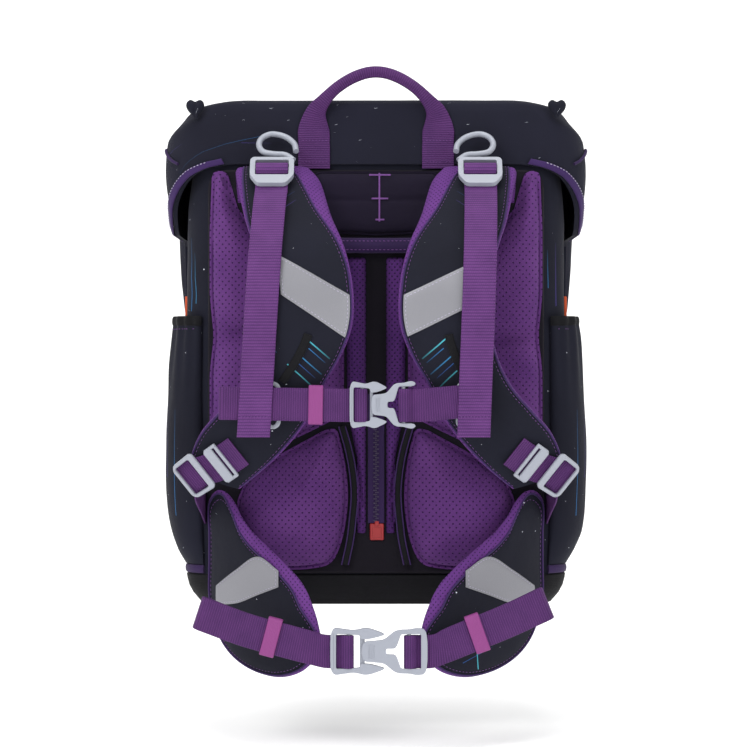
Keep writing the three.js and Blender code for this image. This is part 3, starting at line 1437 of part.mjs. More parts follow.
function buildBeltKeeper(name, side) {
  const { run, wide } = beltLine(name);
  const share = KEEPER_SHARE[name];
  const keeper = add(`belt_keeper_${name}`, keeperGeometry(BELT_LAYERS + 1.4), "keeper");
  keeper.position.copy(run(share));
  const across = wide(share);
  keeper.rotation.y = Math.atan2(across.x, across.z);
}

// Small gathered knot of cloth at each back corner of the lid
const KNOT_ROWS = [
  { across: -0.5, low: 0.18, high: 0.3 },
  { across: -0.4, low: -0.06, high: 0.47 },
  { across: -0.24, low: -0.2, high: 0.5 },
  { across: -0.1, low: -0.34, high: 0.4 },
  { across: 0.02, low: -0.5, high: 0.4 },
  { across: 0.16, low: -0.44, high: 0.5 },
  { across: 0.34, low: -0.18, high: 0.48 },
  { across: 0.48, low: 0.06, high: 0.28 },
];

function buildKnot(name, side) {
  const x = LID_HALF_WIDTH * LID_ROWS[2].wide - KNOT_WIDTH * 0.45 + 3;
  const z = LID_TOP - KNOT_HEIGHT * 0.5;
  const edge = (column) =>
    KNOT_ROWS.map((row) => [side * (x - row.across * KNOT_WIDTH), z + row[column] * KNOT_HEIGHT]);
  const outline = [...edge("low"), ...edge("high").reverse()];
  const seat = GAP + LID_WALL - KNOT_INSET;
  const place = (px, pz, rise) => v3(px, -(seat + KNOT_THICK * rise), pz);
  add(`corner_knot_${name}`, pad(outline, place), "shell");
}

// Plain closure under the lid's front edge
function buildClasp() {
  const clasp = add("lid_clasp", new THREE.BoxGeometry(CLASP_WIDTH, CLASP_THICK, CLASP_HEIGHT), "buckle");
  clasp.position.set(0, BAG_DEPTH + GAP + CLASP_THICK / 2, LID_FRONT_RIM - GAP - CLASP_HEIGHT / 2);
}

buildShell();
buildBoot();
buildBaseTrim();
buildLid();
buildBoard();
buildYoke();
buildNeckPanel();
buildZip();
buildHandle();
buildClasp();
for (const [name, side] of Object.entries(SIDES)) {
  buildPocket(name, side);
  buildSideTab(name, side);
  buildLidBinding(name, side);
  buildLidPiping(name, side);
  buildKnot(name, side);
  buildSidePad(name, side);
  buildLumbarPad(name, side);
  buildSpineStrip(name, side);
  buildLumbarBead(name, side);
  buildStrap(name);
  buildStrapReflector(name);
  buildSlider(name, side);
  buildLifter(name);
  buildChestClip(name, side);
  buildChestWebbing(name, side);
  buildAdjuster(name);
  buildEndFrame(name);
  buildLowerWebbing(name, side);
  buildFin(name);
  buildHipReflector(name);
  buildBelt(name, side);
  buildBeltKeeper(name, side);
}
buildChestKeeper();
buildBuckle("chest", CHEST_BUCKLE_LENGTH, false, CHEST_CENTRE, chestMiddle() - BAR_OFFSET, CHEST_HEIGHT);
buildBuckle("hip", HIP_BUCKLE_LENGTH, true, BELT_CENTRE, beltPlane() - BAR_OFFSET, BELT_HEIGHT);

bag.position.set(0, -HANDLE_CENTRE_Y, -(HANDLE_TOP - HANDLE_ROLL));

export default bag;
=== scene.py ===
"""School backpack seen from its padded back, with its harness and fastened belts.

Sizes are in millimetres in the bag's own frame: +Z up from the underside of the base, -Y towards the wearer
and X across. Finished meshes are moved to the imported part's frame, whose origin is the inner top of the
carry handle.
"""

import logging
import math
from dataclasses import dataclass, field, replace
from enum import Enum
from functools import lru_cache
from typing import Callable, Dict, List, Optional, Sequence, Tuple

import bmesh
import bpy
import numpy as np
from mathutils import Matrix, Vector, noise

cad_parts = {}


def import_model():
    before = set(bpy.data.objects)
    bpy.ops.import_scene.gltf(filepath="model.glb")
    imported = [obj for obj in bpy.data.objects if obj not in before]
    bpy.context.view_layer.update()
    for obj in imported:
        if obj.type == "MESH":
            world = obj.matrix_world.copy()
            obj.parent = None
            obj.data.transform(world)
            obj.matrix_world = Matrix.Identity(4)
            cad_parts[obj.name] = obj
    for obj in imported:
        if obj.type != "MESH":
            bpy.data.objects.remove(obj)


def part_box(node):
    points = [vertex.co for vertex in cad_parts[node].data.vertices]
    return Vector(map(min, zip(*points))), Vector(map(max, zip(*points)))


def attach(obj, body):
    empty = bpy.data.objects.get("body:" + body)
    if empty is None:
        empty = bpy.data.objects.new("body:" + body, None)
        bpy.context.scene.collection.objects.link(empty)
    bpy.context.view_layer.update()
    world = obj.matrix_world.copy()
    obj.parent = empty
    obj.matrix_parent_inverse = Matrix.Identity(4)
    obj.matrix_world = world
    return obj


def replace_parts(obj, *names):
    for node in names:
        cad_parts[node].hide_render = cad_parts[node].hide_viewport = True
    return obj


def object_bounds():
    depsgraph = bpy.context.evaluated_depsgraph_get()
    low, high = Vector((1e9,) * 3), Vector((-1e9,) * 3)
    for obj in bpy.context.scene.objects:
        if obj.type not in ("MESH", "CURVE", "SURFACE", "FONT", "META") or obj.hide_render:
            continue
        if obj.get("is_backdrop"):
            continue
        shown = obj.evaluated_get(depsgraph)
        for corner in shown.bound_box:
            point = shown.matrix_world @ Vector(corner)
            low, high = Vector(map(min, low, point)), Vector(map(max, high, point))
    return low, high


LOG = logging.getLogger("backpack")

Array = np.ndarray
Pair = Tuple[float, float]
Triple = Tuple[float, float, float]
Socket = bpy.types.NodeSocket
Piece = bpy.types.Object
Body = bmesh.types.BMesh

ORIGIN = np.array([0.0, 8.38, -414.0])
MM = 0.001
GAP = 0.35
WEB_WIDTH = 25.0
WEB_THICK = 1.6
WEB_ROOM = WEB_WIDTH + 4 * GAP


class Side(Enum):
    """Which side of the bag a piece is on, as seen in the photo; the value is its direction in X."""

    LEFT = -1
    RIGHT = 1

    def __str__(self) -> str:
        """Returns the word used in piece names."""
        return self.name.lower()


class Slot(Enum):
    """Material slots of the record."""

    CLOTH = "shell_cloth"
    MESH = "spacer_mesh"
    WEBBING = "webbing"
    TRIM = "trim_cloth"
    PLASTIC = "buckle_plastic"
    FILM = "reflective_film"
    ELASTIC = "keeper_elastic"
    ORANGE = "orange_loop"
    RED = "red_pull"


# Finishes


class NodeSheet:
    """A material's node tree with short calls for the nodes that the finishes use."""

    def __init__(self, name: str) -> None:
        """Args: name: of the new material."""
        self.material = bpy.data.materials.new(name)
        self.material.use_nodes = True
        self.tree = self.material.node_tree
        self.shader = self.tree.nodes["Principled BSDF"]

    def node(self, kind: str, feeds: Dict[object, object], **settings: object) -> bpy.types.Node:
        """Adds a node.

        Args:
            kind: Blender's name for it.
            feeds: sockets or plain values for its inputs, by name or place.
            settings: properties set on it.
        Returns:
            The node.
        """
        made = self.tree.nodes.new(kind)
        for key, value in settings.items():
            setattr(made, key, value)
        for key, value in feeds.items():
            self.link(value, made.inputs[key])
        return made

    def link(self, source: object, target: Socket) -> None:
        """Links a socket to another, or sets a plain value on it."""
        if isinstance(source, Socket):
            self.tree.links.new(source, target)
        else:
            target.default_value = source

    def look(self, name: str, value: object) -> None:
        """Sets or feeds one of the shader's sockets."""
        self.link(value, self.shader.inputs[name])

    def math(self, operation: str, *values: object) -> Socket:
        """Returns the result of a math node over sockets or numbers."""
        return self.node("ShaderNodeMath", dict(enumerate(values)), operation=operation).outputs[0]

    def cloth_map(self) -> Socket:
        """Returns the piece's own map, in millimetres along and across the cloth."""
        return self.node("ShaderNodeUVMap", {}, uv_map="cloth").outputs[0]

    def split(self, vector: Socket) -> Tuple[Socket, Socket]:
        """Returns the X and Y of a vector."""
        made = self.node("ShaderNodeSeparateXYZ", {0: vector})
        return made.outputs[0], made.outputs[1]

    def cloud(self, scale: float, detail: float = 3.0) -> Socket:
        """Returns soft noise over the piece; scale is per metre."""
        place = self.node("ShaderNodeTexCoord", {}).outputs["Object"]
        feeds = {"Scale": scale, "Detail": detail, "Vector": place}
        return self.node("ShaderNodeTexNoise", feeds).outputs["Fac"]

    def blend(self, share: object, low: object, high: object) -> Socket:
        """Returns a colour between two, by a share."""
        return self.node("ShaderNodeMix", {0: share, 6: low, 7: high}, data_type="RGBA").outputs[2]

    def bump(self, height: object, depth: float, strength: float = 1.0) -> None:
        """Feeds the shader a relief; depth is in metres."""
        feeds = {"Strength": strength, "Distance": depth, "Height": height}
        self.look("Normal", self.node("ShaderNodeBump", feeds).outputs[0])

    def wave(self, along: Socket, pitch: float) -> Socket:
        """Returns a smooth wave between 0 and 1 with a pitch in millimetres."""
        angle = self.math("MULTIPLY", along, 2 * math.pi / pitch)
        return self.math("MULTIPLY_ADD", self.math("SINE", angle), 0.5, 0.5)


def tint(code: str) -> Tuple[float, float, float, float]:
    """Returns the linear colour of a six-digit sRGB code."""
    parts = [int(code[i : i + 2], 16) / 255 for i in (0, 2, 4)]
    linear = [v / 12.92 if v <= 0.04045 else ((v + 0.055) / 1.055) ** 2.4 for v in parts]
    return (*linear, 1.0)


@dataclass(frozen=True)
class Finish:
    """A look that pieces share, with its name and the record's slot that it fills."""

    name: str
    slot: Slot

    def build(self) -> bpy.types.Material:
        """Returns the material."""
        sheet = NodeSheet(self.name)
        self.dress(sheet)
        return sheet.material

    def dress(self, sheet: NodeSheet) -> None:
        """Wires the nodes of the look on its sheet."""
        raise NotImplementedError


@dataclass(frozen=True)
class Streak:
    """A thin printed line on cloth, in millimetres on the piece's map."""

    across: float
    along: float
    angle: float
    length: float
    width: float = 0.5
    color: str = "3f8fb4"


@dataclass(frozen=True)
class Cloth(Finish):
    """Woven cloth, plain or with printed streaks and specks."""

    color: str
    shade: str
    weave: float = 0.7
    rough: float = 0.82
    sheen: float = 0.03
    shine: float = 0.18
    streaks: Tuple[Streak, ...] = ()
    specks: float = 0.0

    def dress(self, sheet: NodeSheet) -> None:
        """Wires the nodes."""
        u, v = sheet.split(sheet.cloth_map())
        weave = sheet.math("MULTIPLY", sheet.wave(u, self.weave), sheet.wave(v, self.weave))
        patches = sheet.cloud(16.0)
        color = sheet.blend(patches, tint(self.shade), tint(self.color))
        if self.specks:
            color = self._speckle(sheet, color)
        for streak in self.streaks:
            color = self._draw(sheet, color, streak)
        sheet.look("Base Color", color)
        sheet.look("Roughness", self.rough)
        sheet.look("Specular IOR Level", self.shine)
        sheet.look("Sheen Weight", self.sheen)
        sheet.look("Sheen Roughness", 0.45)
        wrinkles = sheet.cloud(55.0, 4.0)
        sheet.bump(sheet.math("MULTIPLY_ADD", weave, 0.12, wrinkles), 0.0016, 0.55)

    def _speckle(self, sheet: NodeSheet, color: Socket) -> Socket:
        """Mixes small pale dots into a colour.

        Args:
            sheet: node sheet of the finish.
            color: colour under the dots.
        Returns:
            The colour with its dots.
        """
        feeds = {"Scale": self.specks, "Vector": sheet.cloth_map()}
        cells = sheet.node("ShaderNodeTexVoronoi", feeds, voronoi_dimensions="2D")
        red, green = sheet.split(cells.outputs["Color"])
        size = sheet.math("MULTIPLY", green, 0.55 * self.specks)
        near = sheet.math("LESS_THAN", cells.outputs["Distance"], size)
        chosen = sheet.math("GREATER_THAN", red, 0.45)
        return sheet.blend(sheet.math("MULTIPLY", near, chosen), color, tint("dfe4f2"))

    def _draw(self, sheet: NodeSheet, color: Socket, streak: Streak) -> Socket:
        """Mixes one fading streak into a colour.

        Args:
            sheet: node sheet of the finish.
            color: colour under the streak.
            streak: its place, size and colour.
        Returns:
            The colour with the streak.
        """
        feeds = {
            "Location": (streak.across, streak.along, 0),
            "Rotation": (0, 0, math.radians(streak.angle)),
            "Vector": sheet.cloth_map(),
        }
        x, y = sheet.split(sheet.node("ShaderNodeMapping", feeds, vector_type="TEXTURE").outputs[0])
        inside = sheet.math("COMPARE", x, streak.length / 2, streak.length / 2)
        line = sheet.math("COMPARE", y, 0.0, streak.width / 2)
        fade = sheet.math("SUBTRACT", 1.0, sheet.math("DIVIDE", x, streak.length * 1.15))
        share = sheet.math("MULTIPLY", sheet.math("MULTIPLY", inside, line), fade)
        return sheet.blend(share, color, tint(streak.color))


@dataclass(frozen=True)
class SpacerMesh(Finish):
    """Padded knit with staggered round holes, whose insides get a dark colour that is painted shade."""

    slot: Slot = Slot.MESH
    color: str = "6b3e7f"
    shade: str = "472260"
    # hole: dark colour of the painted shade inside the holes
    hole: str = "28133c"
    pitch: float = 5.2
    row: float = 2.9
    size: float = 0.105

    def dress(self, sheet: NodeSheet) -> None:
        """Wires the nodes."""
        u, v = sheet.split(sheet.cloth_map())
        rows = sheet.math("DIVIDE", v, self.row)
        line = sheet.math("FLOOR", rows)
        shift = sheet.math("MULTIPLY", sheet.math("PINGPONG", line, 1.0), 0.5)
        columns = sheet.math("ADD", sheet.math("DIVIDE", u, self.pitch), shift)
        squares = []
        for cell, width in ((columns, self.pitch), (rows, self.row)):
            offset = sheet.math("MULTIPLY", sheet.math("SUBTRACT", sheet.math("FRACT", cell), 0.5), width)
            squares.append(sheet.math("POWER", offset, 2.0))
        radius = self.pitch * self.size
        feeds = {
            "Value": sheet.math("SQRT", sheet.math("ADD", *squares)),
            "From Min": radius * 0.6,
            "From Max": radius * 1.5,
        }
        solid = sheet.node("ShaderNodeMapRange", feeds, interpolation_type="SMOOTHSTEP").outputs[0]
        knit = sheet.math("MULTIPLY", sheet.wave(u, 0.9), sheet.wave(v, 0.65))
        patches = sheet.cloud(30.0)
        cloth = sheet.blend(patches, tint(self.shade), tint(self.color))
        cloth = sheet.blend(sheet.math("MULTIPLY", knit, 0.35), cloth, tint(self.shade))
        # solid is 1 on the knit and 0 in the holes, which take the painted shade colour
        sheet.look("Base Color", sheet.blend(solid, tint(self.hole), cloth))
        sheet.look("Roughness", 0.9)
        sheet.look("Specular IOR Level", 0.2)
        sheet.look("Sheen Weight", 0.12)
        sheet.look("Sheen Roughness", 0.5)
        sheet.look("Sheen Tint", tint("9a70b8"))
        height = sheet.math("MULTIPLY_ADD", knit, 0.12, sheet.math("MULTIPLY", solid, 0.8))
        sheet.bump(height, 0.0009, 0.9)


@dataclass(frozen=True)
class Webbing(Finish):
    """Ribbed webbing whose ribs run across it."""

    slot: Slot = Slot.WEBBING
    color: str = "592d69"
    shade: str = "2e1244"
    rib: float = 1.75
    dash: float = 1.3

    def dress(self, sheet: NodeSheet) -> None:
        """Wires the nodes."""
        u, v = sheet.split(sheet.cloth_map())
        ribs = sheet.wave(v, self.rib)
        dashes = sheet.wave(sheet.math("ADD", u, sheet.math("MULTIPLY", v, 0.37)), self.dash)
        knit = sheet.math("MULTIPLY", ribs, sheet.math("MULTIPLY_ADD", dashes, 0.45, 0.55))
        worn = sheet.math("MULTIPLY", sheet.cloud(60.0), 0.6)
        lift = sheet.math("MULTIPLY_ADD", knit, 0.75, worn)
        sheet.look("Base Color", sheet.blend(lift, tint(self.shade), tint(self.color)))
        sheet.look("Roughness", 0.68)
        sheet.look("Specular IOR Level", 0.25)
        sheet.look("Sheen Weight", 0.1)
        sheet.look("Sheen Tint", tint("a97cba"))
        sheet.bump(knit, 0.0005, 0.8)


@dataclass(frozen=True)
class Moulded(Finish):
    """Moulded plastic or elastic in one colour with a faint grain."""

    color: str
    rough: float = 0.38
    coat: float = 0.1
    ribs: float = 0.0

    def dress(self, sheet: NodeSheet) -> None:
        """Wires the nodes."""
        sheet.look("Base Color", tint(self.color))
        sheet.look("Coat Weight", self.coat)
        sheet.look("Coat Roughness", 0.3)
        rough = sheet.math("MULTIPLY_ADD", sheet.cloud(40.0), 0.14, self.rough - 0.07)
        sheet.look("Roughness", rough)
        if self.ribs:
            sheet.bump(sheet.wave(sheet.split(sheet.cloth_map())[0], self.ribs), 0.0004, 0.5)
        else:
            sheet.bump(sheet.cloud(900.0, 2.0), 0.00012, 0.5)


@dataclass(frozen=True)
class Film(Finish):
    """Silver reflective film with a fine honeycomb."""

    slot: Slot = Slot.FILM
    color: str = "8c8c92"

    def dress(self, sheet: NodeSheet) -> None:
        """Wires the nodes."""
        feeds = {"Scale": 1.1, "Randomness": 0.15, "Vector": sheet.cloth_map()}
        cells = sheet.node(
            "ShaderNodeTexVoronoi", feeds, voronoi_dimensions="2D", feature="DISTANCE_TO_EDGE"
        )
        walls = sheet.math("MULTIPLY", sheet.math("LESS_THAN", cells.outputs["Distance"], 0.09), 0.45)
        sheet.look("Base Color", sheet.blend(walls, tint(self.color), tint("66666d")))
        sheet.look("Metallic", 0.25)
        sheet.look("Roughness", 0.42)
        sheet.bump(sheet.cloud(45.0), 0.0008, 0.5)


BAG_PRINT = (
    Streak(688, 232, 89, 58, 0.8, "2f6ea6"),
    Streak(694, 238, 91, 40, 0.5, "3f8fc0"),
    Streak(22, 236, 90, 50, 0.6, "4a3f8c"),
    Streak(14, 250, 91, 30, 0.5, "2f6ea6"),
    Streak(24, 40, 90, 84, 0.6, "2f6ea6"),
    Streak(36, 70, 88, 60, 0.5, "4a3f8c"),
)
LID_PRINT = (
    Streak(905, 150, 88, 44, 0.8, "2f6ea6"),
    Streak(914, 168, 2, 26, 0.4, "4a3f8c"),
    Streak(800, 152, 4, 40, 0.5, "4a3f8c"),
)
STRAP_PRINT = (
    Streak(38, 196, 38, 30, 0.9, "4fb3c4"),
    Streak(42, 204, 38, 22, 0.6, "2e6fa8"),
    Streak(34, 207, 38, 34, 0.8, "3a86ba"),
    Streak(37, 215, 38, 26, 0.5, "2e5a9c"),
    Streak(30, 216, 38, 38, 0.8, "4fb3c4"),
    Streak(6, 196, 38, 16, 0.5, "3a86ba"),
    Streak(20, 96, -36, 30, 0.5, "5a4a9a"),
    Streak(24, 84, -36, 26, 0.4, "37538c"),
    Streak(30, 60, 84, 30, 0.4, "37538c"),
)
FIN_PRINT = (
    Streak(40, -20, 24, 34, 0.7, "3a86ba"),
    Streak(46, -27, 24, 38, 0.5, "2e6fa8"),
    Streak(54, -33, 24, 34, 0.6, "3a86ba"),
    Streak(66, -38, 24, 26, 0.45, "2e5a9c"),
    Streak(78, -44, 94, 34, 0.7, "4fb3c4"),
)
BAG_CLOTH = Cloth("bag_cloth", Slot.CLOTH, "1b1c2b", "12131d", weave=0.9, specks=0.045, streaks=BAG_PRINT)
LID_CLOTH = Cloth("lid_cloth", Slot.CLOTH, "1f1f2f", "151621", weave=0.9, specks=0.03, streaks=LID_PRINT)
BASE_CLOTH = Cloth("base_cloth", Slot.CLOTH, "141418", "0d0d10", weave=1.4)
BOARD_CLOTH = Cloth("board_cloth", Slot.CLOTH, "17131d", "0f0d14", weave=1.1)
FIN_CLOTH = Cloth("fin_cloth", Slot.CLOTH, "1a1b29", "11121c", weave=0.8, specks=0.06, streaks=FIN_PRINT)
NECK_CLOTH = Cloth("neck_cloth", Slot.CLOTH, "1a1228", "120d1c", weave=0.9)
STRAP_CLOTH = replace(FIN_CLOTH, name="strap_cloth", specks=0.05, streaks=STRAP_PRINT)
TRIM = Cloth("trim_cloth", Slot.TRIM, "432c61", "2f1d4a", weave=0.8, rough=0.75, sheen=0.08)
DARK_TRIM = Cloth("dark_trim", Slot.TRIM, "36224f", "251739", weave=0.8, rough=0.75, sheen=0.08)
THREAD = Cloth("thread", Slot.TRIM, "c3bdd2", "a9a2bb", weave=0.5, rough=0.7)
PURPLE_THREAD = Cloth("purple_thread", Slot.TRIM, "7d5192", "66407c", weave=0.5, rough=0.7)
PAD_MESH = SpacerMesh("pad_mesh")
STRIP_MESH = SpacerMesh("strip_mesh", color="5a2f74", shade="3f1d5a", pitch=4.2, row=2.4, size=0.15)
EDGE_MESH = SpacerMesh("edge_mesh", color="6f3f88", shade="4f276b", pitch=3.6, row=2.1, size=0.12)
PURPLE_WEB = Webbing("purple_webbing")
TAIL_WEB = Webbing("tail_webbing", color="673879", shade="35154a", rib=2.3, dash=1.6)
PLASTIC = Moulded("pale_plastic", Slot.PLASTIC, "989ca7")
ELASTIC = Moulded("keeper_elastic", Slot.ELASTIC, "85357a", rough=0.6, coat=0.0, ribs=1.1)
ORANGE = Moulded("orange_tape", Slot.ORANGE, "d44f17", rough=0.6, coat=0.0, ribs=1.4)
RED = Moulded("red_pull", Slot.RED, "9a171c", rough=0.42)
FILM = Film("reflective_film")
ZIP_TEETH = Moulded("zip_teeth", Slot.WEBBING, "2c1a40", rough=0.4)


@lru_cache(maxsize=None)
def material_of(finish: Finish) -> bpy.types.Material:
    """Returns the material of a finish, which is built once."""
    return finish.build()


# Curves and fields


def distances(points: Array) -> Array:
    """Returns the distance along a line of points up to each of them."""
    return np.concatenate([[0], np.cumsum(np.linalg.norm(np.diff(points, axis=0), axis=1))])


def along_line(points: Array, places: Array) -> Array:
    """Returns the points of a line at distances along it."""
    run = distances(points)
    return np.stack([np.interp(places, run, column) for column in points.T], 1)


class Curve:
    """Smooth curve through points, with the same spacing rule as the solid's curves."""

    def __init__(self, points: Sequence[Sequence[float]], closed: bool = False) -> None:
        """Args: points: that it passes through. closed: whether it returns to the first."""
        self.points = np.asarray(points, float)
        self.closed = closed

    def at(self, share: float) -> Array:
        """Returns the point at a share of the rows."""
        p, n = self.points, len(self.points)
        spans = n if self.closed else n - 1
        place = min(max(share, 0.0), 1.0) * spans
        k = min(int(place), spans - 1)
        w = place - k
        if self.closed:
            a, b, c, d = (p[(k + j - 1) % n] for j in range(4))
        else:
            b, c = p[k], p[k + 1]
            a = p[k - 1] if k else 2 * b - c
            d = p[k + 2] if k + 2 < n else 2 * c - b
        steps = [max(float(np.linalg.norm(y - x)) ** 0.5, 1e-4) for x, y in ((a, b), (b, c), (c, d))]
        s0, s1, s2 = steps
        t1 = ((b - a) / s0 - (c - a) / (s0 + s1) + (c - b) / s1) * s1
        t2 = ((c - b) / s1 - (d - b) / (s1 + s2) + (d - c) / s2) * s1
        return b + t1 * w + (3 * c - 3 * b - 2 * t1 - t2) * w**2 + (2 * b - 2 * c + t1 + t2) * w**3

    def spaced(self, count: int) -> Array:
        """Returns points at even distances, both ends included unless it is closed."""
        fine = np.array([self.at(i / 400) for i in range(401)])
        end = distances(fine)[-1]
        places = np.linspace(0, end, count + 1)[:-1] if self.closed else np.linspace(0, end, count)
        return along_line(fine, places)


def unit(vectors: Array) -> Array:
    """Returns vectors with length one."""
    return vectors / np.maximum(np.linalg.norm(vectors, axis=-1, keepdims=True), 1e-9)


def circle(count: int) -> Array:
    """Returns even angles once round, without the last."""
    return np.linspace(0, 2 * math.pi, count, endpoint=False)


def smooth(value: float, low: float, high: float) -> float:
    """Returns a soft step from 0 at low to 1 at high."""
    w = min(max((value - low) / (high - low), 0.0), 1.0)
    return w * w * (3 - 2 * w)


def ripple(points: Array, size: float, height: float, seed: float = 0.0) -> Array:
    """Returns soft noise at points; size is its wavelength in millimetres."""
    flat = points.reshape(-1, points.shape[-1])
    values = [height * noise.noise(Vector((p[0] / size + seed, p[1] / size, p[2] / size))) for p in flat]
    return np.array(values).reshape(points.shape[:-1])


# Making pieces


def add(name: str, data: bpy.types.ID) -> Piece:
    """Returns a new object of the scene with the given data."""
    made = bpy.data.objects.new(name, data)
    bpy.context.scene.collection.objects.link(made)
    return made


def smooth_mesh(bm: Body, name: str, materials: Sequence[bpy.types.Material]) -> bpy.types.Mesh:
    """Returns a smooth-shaded mesh made from a body, which is freed."""
    mesh = bpy.data.meshes.new(name)
    bm.to_mesh(mesh)
    bm.free()
    mesh.polygons.foreach_set("use_smooth", [True] * len(mesh.polygons))
    for material in materials:
        mesh.materials.append(material)
    return mesh


def settle(bm: Body, name: str, finishes: Sequence[Finish], sharp: float) -> Piece:
    """Turns a mesh in millimetres into a piece in the part's frame.

    Args:
        bm: the mesh, which is freed.
        name: of the piece.
        finishes: its materials in order.
        sharp: angle in degrees above which an edge stays sharp.
    Returns:
        The piece, riding on the root.
    """
    bmesh.ops.recalc_face_normals(bm, faces=bm.faces)
    bmesh.ops.translate(bm, verts=bm.verts, vec=Vector(ORIGIN))
    bmesh.ops.scale(bm, verts=bm.verts, vec=(MM, MM, MM))
    mesh = smooth_mesh(bm, name, [material_of(finish) for finish in finishes])
    mesh.set_sharp_from_angle(angle=math.radians(sharp))
    piece = add(name, mesh)
    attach(piece, "root")
    LOG.info("%s: %d faces", name, len(mesh.polygons))
    return piece


def wrap(
    rings: Array,
    looped: bool = False,
    flat_map: bool = False,
    pick: Optional[Callable[[int, int], int]] = None,
) -> Body:
    """Returns a closed body over rings of points, from a grid that is wrapped round and welded.

    Args:
        rings: points as rings by places by 3.
        looped: whether the last ring joins the first; otherwise both ends are filled.
        flat_map: maps the cloth by X and Z instead of by distance over it.
        pick: gives a face's material from its ring and place.
    """
    rings = np.asarray(rings, float)
    if looped:
        rings = np.concatenate([rings, rings[:1]])
    rings = np.concatenate([rings, rings[:, :1]], axis=1)
    rows, places = rings.shape[:2]
    if flat_map:
        cloth = rings[:, :, [0, 2]]
    else:
        around = np.cumsum(np.linalg.norm(np.diff(rings, axis=1, prepend=rings[:, :1]), axis=2), axis=1)
        along = np.cumsum(np.linalg.norm(np.diff(rings, axis=0, prepend=rings[:1]), axis=2).mean(axis=1))
        cloth = np.stack([around, np.repeat(along[:, None], places, axis=1)], axis=2)
    bm = bmesh.new()
    bmesh.ops.create_grid(bm, x_segments=places - 1, y_segments=rows - 1, size=0.5)
    where = {}
    for vert in bm.verts:
        column = round((vert.co.x + 0.5) * (places - 1))
        row = round((vert.co.y + 0.5) * (rows - 1))
        where[vert] = (row, column)
        vert.co = rings[row, column]
    uv = bm.loops.layers.uv.new("cloth")
    for face in bm.faces:
        spots = [where[loop.vert] for loop in face.loops]
        for loop, (row, column) in zip(face.loops, spots):
            loop[uv].uv = cloth[row, column]
        if pick:
            face.material_index = pick(min(s[0] for s in spots), min(s[1] for s in spots))
    bmesh.ops.remove_doubles(bm, verts=bm.verts, dist=1e-3)
    bmesh.ops.holes_fill(bm, edges=[edge for edge in bm.edges if edge.is_boundary], sides=0)
    return bm


def skin(
    name: str,
    rings: Array,
    finishes: Sequence[Finish],
    *,
    looped: bool = False,
    flat_map: bool = False,
    pick: Optional[Callable[[int, int], int]] = None,
    sharp: float = 40.0,
) -> Piece:
    """Makes a piece over rings of points; rings, looped, flat_map and pick are as in wrap.

    Args:
        name: of the piece.
        finishes: its materials.
        sharp: angle in degrees above which an edge stays sharp.
    Returns:
        The piece.
    """
    return settle(wrap(rings, looped, flat_map, pick), name, finishes, sharp)


def tube(path: Array, radius: float, flat: float, rise: Sequence[float], looped: bool, sides: int) -> Array:
    """Returns rings round a path, with its radius across and a share of it along the rise direction."""
    path = np.asarray(path, float)
    if looped:
        along = unit(np.roll(path, -1, axis=0) - np.roll(path, 1, axis=0))
    else:
        along = unit(np.gradient(path, axis=0))
    across = unit(np.cross(along, np.asarray(rise, float)))
    out = unit(np.cross(across, along))
    turn = circle(sides)
    sideways = across[:, None] * (radius * np.cos(turn))[None, :, None]
    return path[:, None] + sideways + out[:, None] * (radius * flat * np.sin(turn))[None, :, None]


def rod(
    name: str,
    path: Array,
    finish: Finish,
    radius: float,
    *,
    flat: float = 1.0,
    rise: Sequence[float] = (0.0, 1.0, 0.0),
    looped: bool = False,
    sides: int = 10,
) -> Piece:
    """Round or oval rod along a path.

    Args:
        name: of the piece.
        path: its middle line.
        finish: its material.
        radius: across the path.
        flat: share of the radius that it has along the rise direction.
        rise: that direction, never along the path.
        looped: whether the path is closed.
        sides: points round it.
    Returns:
        The piece.
    """
    return skin(name, tube(path, radius, flat, rise, looped, sides), [finish], looped=looped, sharp=70)


def ribbon(
    name: str,
    centres: Array,
    wides: Sequence[float] | Array,
    finish: Finish,
    *,
    width: float = WEB_WIDTH,
    thick: Sequence[float] | float = WEB_THICK,
    looped: bool = False,
) -> Piece:
    """Webbing along stations.

    Args:
        name: of the piece.
        centres: its middle line.
        wides: the direction of its width, one or one for each station.
        finish: its material.
        width: across it.
        thick: its thickness, one or one for each station.
        looped: whether its end joins its start.
    Returns:
        The piece.
    """
    wides = unit(np.broadcast_to(np.asarray(wides, float), centres.shape))
    if looped:
        forward = np.roll(centres, -1, axis=0) - np.roll(centres, 1, axis=0)
    else:
        forward = np.gradient(centres, axis=0)
    out = unit(np.cross(forward, wides))
    half = np.broadcast_to(np.asarray(thick, float) / 2, (len(centres),))
    edge = width / 2
    inner = np.linspace(-1, 1, 9) * (edge - 0.7)
    profile = [(-edge, 0.0), (-edge + 0.2, 0.7)] + [(x, 1.0) for x in inner]
    profile += [(edge - 0.2, 0.7), (edge, 0.0), (edge - 0.2, -0.7)]
    profile += [(x, -1.0) for x in inner[::-1]] + [(-edge + 0.2, -0.7)]
    x, y = np.array(profile).T
    across = wides[:, None] * x[None, :, None]
    lift = out[:, None] * (half[:, None] * y)[:, :, None]
    return skin(name, centres[:, None] + across + lift, [finish], looped=looped, sharp=50)


def rounded(outline: Sequence[Pair], radius: float, steps: int = 4) -> List[Pair]:
    """Returns an outline with its corners rounded."""
    points = np.asarray(outline, float)
    found = []
    for k, here in enumerate(points):
        before, after = points[k - 1] - here, points[(k + 1) % len(points)] - here
        reach = min(radius, 0.45 * np.linalg.norm(before), 0.45 * np.linalg.norm(after))
        start, end = here + unit(before) * reach, here + unit(after) * reach
        for w in np.linspace(0, 1, steps + 1):
            found.append(tuple((1 - w) ** 2 * start + 2 * w * (1 - w) * here + w * w * end))
    return found


